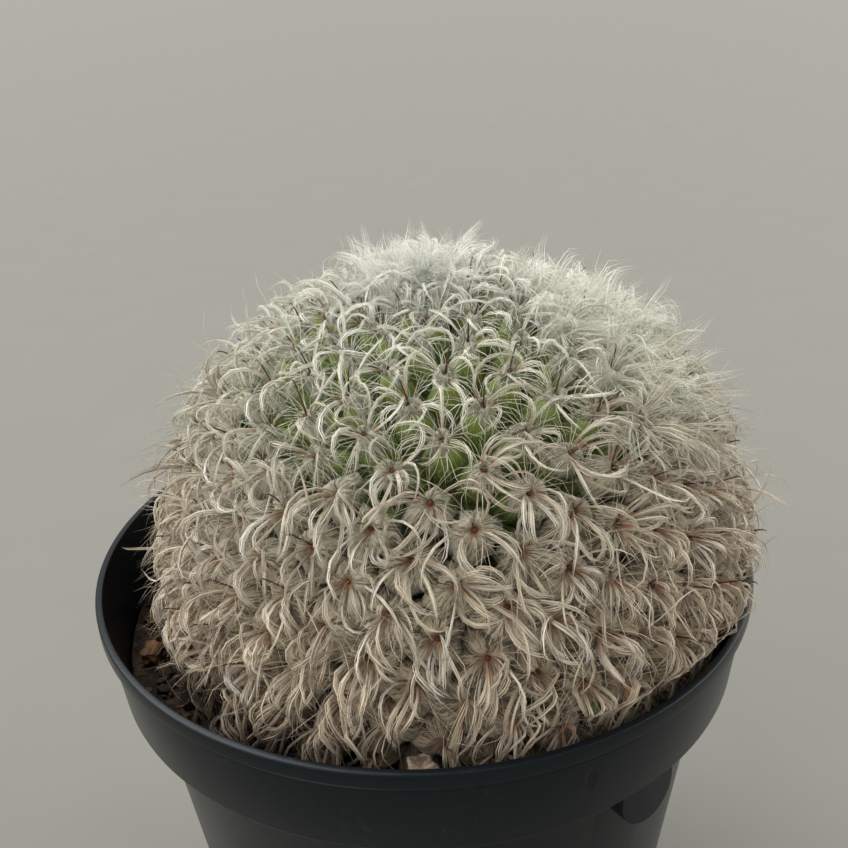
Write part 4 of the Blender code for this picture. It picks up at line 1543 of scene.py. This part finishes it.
puff_ring, puff_angle, puff_faces = model_puff()
sides = np.rint(puff_angle / (2.0 * math.pi) * PUFF_SIDES).astype(int) % 2 * 2.0 - 1.0
share = PUFF_SHARES[puff_ring][None]
puff_reach = 0.63 * nearest * (0.46 + 0.54 * np.maximum(smooth_step(star_steep, 40.0, 64.0), star_felt))
puff_reach *= 1.0 - 0.22 * smooth_step(star_steep, 84.0, 98.0)
uneven = 1.0 + 0.22 * clumps(puff_angle, (1, 2, 3)) + 0.12 * clumps(puff_angle, (5, 7))
far = puff_reach[:, None] * share * uneven
far = far * (1.0 + 0.13 * sides * (share > 0.95))
rise = PUFF_HEIGHTS[puff_ring][None] * (0.8 + 0.4 * draw.uniform(size=(AREOLES, 1)))
puff_lift = star_felt * (1.0 - 0.95 * star_ridge - 0.45 * star_far_side * (1.0 - star_ridge))
dome = puff_lift[:, None] * (PUFF_BASE + PUFF_DOME * share * (1.0 - share))
ripple = PUFF_RIPPLE * clumps(puff_angle, (2, 3, 5)) + PUFF_RIBS * sides * (share < 0.95)
rise = rise + dome + share * ripple
turn = puff_angle[None, :, None]
level = np.cos(turn) * star_down[:, None] + np.sin(turn) * star_side[:, None]
puff_points = star_hearts[:, None] + far[..., None] * level + rise[..., None] * star_out[:, None]
sag = (PUFF_SAG * star_hang)[:, None] * share**2
puff_points = puff_points + sag[..., None] * DOWN + (PUFF_FLOW * share)[..., None] * star_flow[:, None]
puff_points = hold(puff_points, PUFF_LOWEST)
puffs = mesh_object("puffs", *repeat_shape(puff_points[0], puff_faces, puff_points))
write_value(puffs, "along", np.tile(PUFF_SHARES[puff_ring], AREOLES))
write_value(puffs, "age", np.repeat(star_age_and_light, len(puff_ring)))
write_value(puffs, "felt", np.repeat(star_felt, len(puff_ring)))
write_fan(puffs, puff_angle, AREOLES)
print("puffs", triangles(puffs), "triangles")

# %% Puff finish
puff_finish = Finish("matted wool", 0.75, Specular_IOR_Level=0.2, Sheen_Weight=0.25, Sheen_Roughness=0.4)
puff_along, puff_age_and_light = puff_finish.value("along"), puff_finish.value("age")
puff_fan = puff_finish.wander(puff_finish.value("fan", "Vector"), 420.0, 0.40)
hairs = puff_finish.grain(puff_finish.stretch(puff_fan, (11.0, 11.0, 3.0)), 1.0, 3.0, 0.8)
tufts = puff_finish.grain(puff_finish.stretch(puff_fan, (2.2, 2.2, 3.0)), 1.0, 1.0)
puff_body = puff_finish.ramp(
    puff_age_and_light,
    (0.0, (0.70, 0.705, 0.655)),
    (0.35, (0.60, 0.61, 0.50)),
    (0.60, (0.55, 0.485, 0.370)),
    (0.80, (0.46, 0.375, 0.265)),
    (1.0, (0.20, 0.140, 0.090)),
)
puff_shadow = puff_finish.ramp(puff_age_and_light, (0.42, (0.060, 0.088, 0.024)), (0.66, (0.030, 0.028, 0.014)))
puff_dark = puff_finish.blend(0.90 - puff_finish.value("felt") * 0.72, puff_body, puff_shadow)
hair_mask = puff_finish.mask(hairs * 0.7 + tufts * 0.3, 0.40, 0.57)
puff_colour = puff_finish.blend(hair_mask, puff_dark, puff_body)
puff_root = 1.0 - puff_finish.mask(puff_along, 0.04, 0.30)
puff_finish.feed("Base Color", puff_finish.blend(puff_root * 0.88, puff_colour, (0.48, 0.205, 0.075)))
puff_finish.bump(hairs, 0.00025, 0.8)
finish_piece(puffs, "matted_puffs", puff_finish.material, "cactus_wool", "cactus")

# %% [markdown]
# ## Wool from the top down
# The crown, the ring round it and the bright side get many fine and loose hairs. Lower down the hair
# gathers in heavier locks. Every band of stars has its own counts, slopes and lengths, and is one piece.

# %% Wool of the crown
def finish_wool(wool):
    """Turn collected strands into a finished piece."""
    return finish_piece(wool.weave(), wool.name, wool_look, "cactus_wool", "cactus")


crown = Wool("wool_crown")
top = stars_between(0, 9.5)
crown_curls = curl_curves(top, 15, (0.80, 1.50), 0.0092, 3.7, 0.8, 0.5)
lay_locks(crown, *crown_curls, 10, spread=0.00070, broad=0.00014, fine=0.000095, rings=6, loose=0.5)
fluff(crown, top, 90, (0.5, 1.4), 0.0078, 3.4, fine=0.000095, wave=0.0004, pale=1.0)
finish_wool(crown)

# %% Wool round the crown
brow = Wool("wool_brow")
near_top = stars_between(9.5, 46)
lay_locks(brow, *curl_curves(near_top, 2, (0.65, 1.45), 0.0096, 3.9), 5, broad=0.00036, fine=0.00011)
lay_locks(brow, *tuft_curves(near_top, 3, (0.60, 1.30)), 5, broad=0.00038, fine=0.00011)
fluff(brow, stars_between(9.5, 30), 15, (0.35, 1.20), 0.0078, 3.2, fine=0.00009, wave=0.0003, pale=0.9)
fluff(brow, stars_between(30, 46), 28, (0.35, 1.20), 0.0080, 3.0, fine=0.00009, wave=0.0003, pale=0.9)
spokes(brow, near_top, 10)
finish_wool(brow)

# %% Haze on the bright side
haze = Wool("wool_haze")
hazy = np.nonzero(star_haze > 0.25)[0]
print("hazy stars", len(hazy))
haze_curls = curl_curves(hazy, 11, (0.65, 1.45), 0.0104, 3.0, 0.8, 0.5)
lay_locks(haze, *haze_curls, 6, spread=0.00075, broad=0.00016, fine=0.00010, rings=5, loose=0.3)
fluff(haze, hazy, 34, (0.5, 1.35), 0.0098, 3.0, fine=0.00011, wave=0.0004, pale=1.0)
finish_wool(haze)

# %% Wool of the sides
def cover(wool, low, high, tufts, hairs, rays, curls=None):
    """Dress the stars between two angles with locks that curl, locks that gather, fluff and spokes.

    tufts: how many, their slope, the fine strands of each, and how far these spread and how broad it is.
    hairs: how many, their slope, length and bend. rays: how many.
    curls: their slope, length and bend, and the fine strands of each.
    """
    stars = stars_between(low, high)
    if curls:
        slope, length, bend, strands = curls
        lay_locks(wool, *curl_curves(stars, 2, slope, length, bend), strands)
    count, slope, strands, spread, broad = tufts
    lay_locks(wool, *tuft_curves(stars, count, slope), strands, spread=spread, broad=broad)
    fluff(wool, stars, *hairs)
    spokes(wool, stars, rays)


shoulder = Wool("wool_shoulder")
upper_tufts = (8, (0.50, 1.30), 4, SPREAD, BROAD)
cover(shoulder, 46, 64, upper_tufts, (17, (0.6, 1.45), 0.0096, 2.0), 16, ((0.65, 1.35), 0.0104, 2.7, 3))
finish_wool(shoulder)

waist = Wool("wool_waist")
middle_tufts = (9, (0.60, 1.40), 4, 0.00046, 0.00056)
cover(waist, 64, 81, middle_tufts, (16, (0.5, 1.4), 0.0100, 2.2), 12, ((0.65, 1.35), 0.0108, 3.4, 2))
finish_wool(waist)

skirt = Wool("wool_skirt")
lower_tufts = (8, (0.60, 1.35), 4, 0.00046, 0.00056)
lowest_tufts = (4, (0.50, 1.25), 5, 0.00044, 0.00050)
cover(skirt, 81, 94, lower_tufts, (14, (0.2, 1.2), 0.0096, 2.2), 9, ((0.45, 1.20), 0.0110, 3.4, 2))
cover(skirt, 94, 112, lowest_tufts, (9, (0.1, 1.1), 0.0090, 1.8), 4)
finish_wool(skirt)

# %% [markdown]
# ## Hearts and hooked spines
# In the middle of a star sits a small brown knob, and many stars have one stiff spine with a hook at its
# end. The knob is a ball of few faces, pressed flat. A spine is the strand again, on a curve that runs
# straight out and turns back in its last tenth.

# %% Hearts
HEART_LIFT = 0.0004


def model_heart():
    """A low knob."""
    knob = add(bpy.ops.mesh.primitive_ico_sphere_add, subdivisions=1, radius=1.0)
    edit(knob)
    bpy.ops.transform.resize(value=(1.0, 1.0, 0.75))
    done()
    return knob


heart_points, heart_faces = read_shape(model_heart())
heart_size = draw.uniform(0.00030, 0.00042, AREOLES)
hearts = on_every_star(heart_points, star_hearts + HEART_LIFT * star_out, heart_size, heart_size)
heart_piece = mesh_object("hearts", *repeat_shape(heart_points, heart_faces, hearts))
heart_finish = Finish("areole brown", 0.7)
heart_grain = heart_finish.grain(heart_finish.place(), 1500.0, 2.0)
heart_browns = (0.040, 0.014, 0.007), (0.190, 0.070, 0.023)
heart_finish.feed("Base Color", heart_finish.blend(heart_grain, *heart_browns))
finish_piece(heart_piece, "areole_hearts", heart_finish.material, "cactus_wool", "cactus")

# %% Hooked spines
SPINE_SHARE = 0.60
SPINE_LENGTH = (0.0038, 0.0056)
SPINE_WIDTH = 0.00023
SPINE_STEPS = 27
SPINE_SHARES = np.array((0.0, 0.35, 0.65, 0.80, 0.87, 0.91, 0.94, 0.965, 0.985, 1.0))
HOOK_TURN = 3.0
HOOK_TIGHTNESS = 22.0
hooked = np.nonzero(draw.uniform(0.0, 1.0, AREOLES) < SPINE_SHARE)[0]
number = len(hooked)
lean = unit(draw.normal(size=(number, 3)) * 0.20 + star_out[hooked] - 0.30 * star_down[hooked])
spine_axis = unit(np.cross(lean, DOWN + 0.4 * draw.normal(size=(number, 3))))
spine_length = draw.uniform(*SPINE_LENGTH, number)
spine_length = spine_length * (0.65 + 0.35 * smooth_step(star_steep[hooked], 10.0, 50.0))
hooks = HOOK_TURN * draw.uniform(0.7, 1.0, number)
tightness = np.full(number, HOOK_TIGHTNESS)
spine_curves = draw_curves(
    star_hearts[hooked], lean, spine_axis, hooks, spine_length, tightness, even=0.004, steps=SPINE_STEPS
)
spines = Wool("hooked_spines")
spine_points = hold(resample(spine_curves, SPINE_SHARES, np.ones(number)))
spine_width = np.full(number, SPINE_WIDTH)
spine_tone = draw.uniform(0.0, 1.0, number)
spines.lay(spine_points, star_side[hooked], spine_width, spine_width, star_age_and_light[hooked], spine_tone, root=0.0)
spine_finish = Finish("spine brown", 0.45)
spine_shade = spine_finish.mask(spine_finish.value("along"), 0.0, 0.6)
spine_finish.feed("Base Color", spine_finish.blend(spine_shade, (0.10, 0.045, 0.022), (0.034, 0.018, 0.012)))
finish_piece(spines.weave(), "hooked_spines", spine_finish.material, "cactus_wool", "cactus")

# %% [markdown]
# ## Root fibres
# Pale root fibres lie loose on the potting soil and stick out of it. They are the same strand once more,
# on slack curves that start in the bed between the plant and the pot's wall.

# %% Root fibres
FIBRES = 130
FIBRE_LENGTH = (0.003, 0.008)
FIBRE_WIDTH = (0.00010, 0.00022)
FIBRE_CLEAR = 0.0035
BED_CLEAR = 0.0004
UP = (0.0, 0.0, 1.0)
fibre_spots = bed_places(FIBRES, FIBRE_CLEAR)
fibre_turn = draw.uniform(0.0, 2.0 * math.pi, FIBRES)
fibre_level = np.stack([np.cos(fibre_turn), np.sin(fibre_turn), draw.uniform(0.0, 0.8, FIBRES)], -1)
fibre_axis = unit(draw.normal(size=(FIBRES, 3)) + np.array((0.0, 0.0, 1.5)))
fibre_bend = draw.uniform(-3.0, 3.0, FIBRES)
fibre_length = draw.uniform(*FIBRE_LENGTH, FIBRES)
once = np.ones(FIBRES)
fibre_curves = draw_curves(fibre_spots, unit(fibre_level), fibre_axis, fibre_bend, fibre_length, once)
fibre_rows = resample(fibre_curves, even_shares(7), once)
fibre_rows[..., 2] = -squeeze(-fibre_rows[..., 2], -(SOIL_HEIGHT + BED_CLEAR), 0.0009)
fibre_far = np.linalg.norm(fibre_rows[..., :2], axis=-1, keepdims=True)
fibre_rows[..., :2] *= squeeze(fibre_far, inner_radius(SOIL_HEIGHT) - 0.0006, 0.0015) / fibre_far
fibre_width = draw.uniform(*FIBRE_WIDTH, FIBRES)
fibre_tone = draw.uniform(0.0, 1.0, FIBRES)
fibres = Wool("root_fibres")
fibres.lay(fibre_rows, np.tile(UP, (FIBRES, 1)), fibre_width, fibre_width, once, fibre_tone, root=0.0)
fibre_finish = Finish("root fibre", 0.7)
fibre_browns = (0.085, 0.050, 0.028), (0.36, 0.27, 0.175)
fibre_finish.feed("Base Color", fibre_finish.blend(fibre_finish.value("tone"), *fibre_browns))
finish_piece(fibres.weave(), "root_fibres", fibre_finish.material, "potting_soil", "soil")

# %% [markdown]
# ## Wool that lies flat
# Between the crown and the bright side the hair is short. It lies over the matted puffs there, so that
# they look woolly from above too.

# %% Flat wool
mat = Wool("wool_mat")
flat_stars = np.nonzero(star_ridge * star_haze > 0.08)[0]
print("stars under flat wool", len(flat_stars))
mat_curls = curl_curves(flat_stars, 6, (0.50, 1.10), 0.0125, 2.8, 0.8, 0.5)
lay_locks(mat, *mat_curls, 4, spread=0.00075, broad=0.00018, fine=0.00011, rings=4, loose=0.4)
fluff(mat, flat_stars, 24, (0.45, 1.10), 0.0120, 2.6, fine=0.00012, rings=4, wave=0.0003, pale=1.0)
finish_wool(mat)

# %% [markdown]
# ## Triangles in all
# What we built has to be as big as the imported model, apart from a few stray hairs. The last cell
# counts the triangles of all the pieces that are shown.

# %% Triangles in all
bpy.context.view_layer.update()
print("triangles in all:", sum(triangles(piece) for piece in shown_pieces() if piece.type == "MESH"))
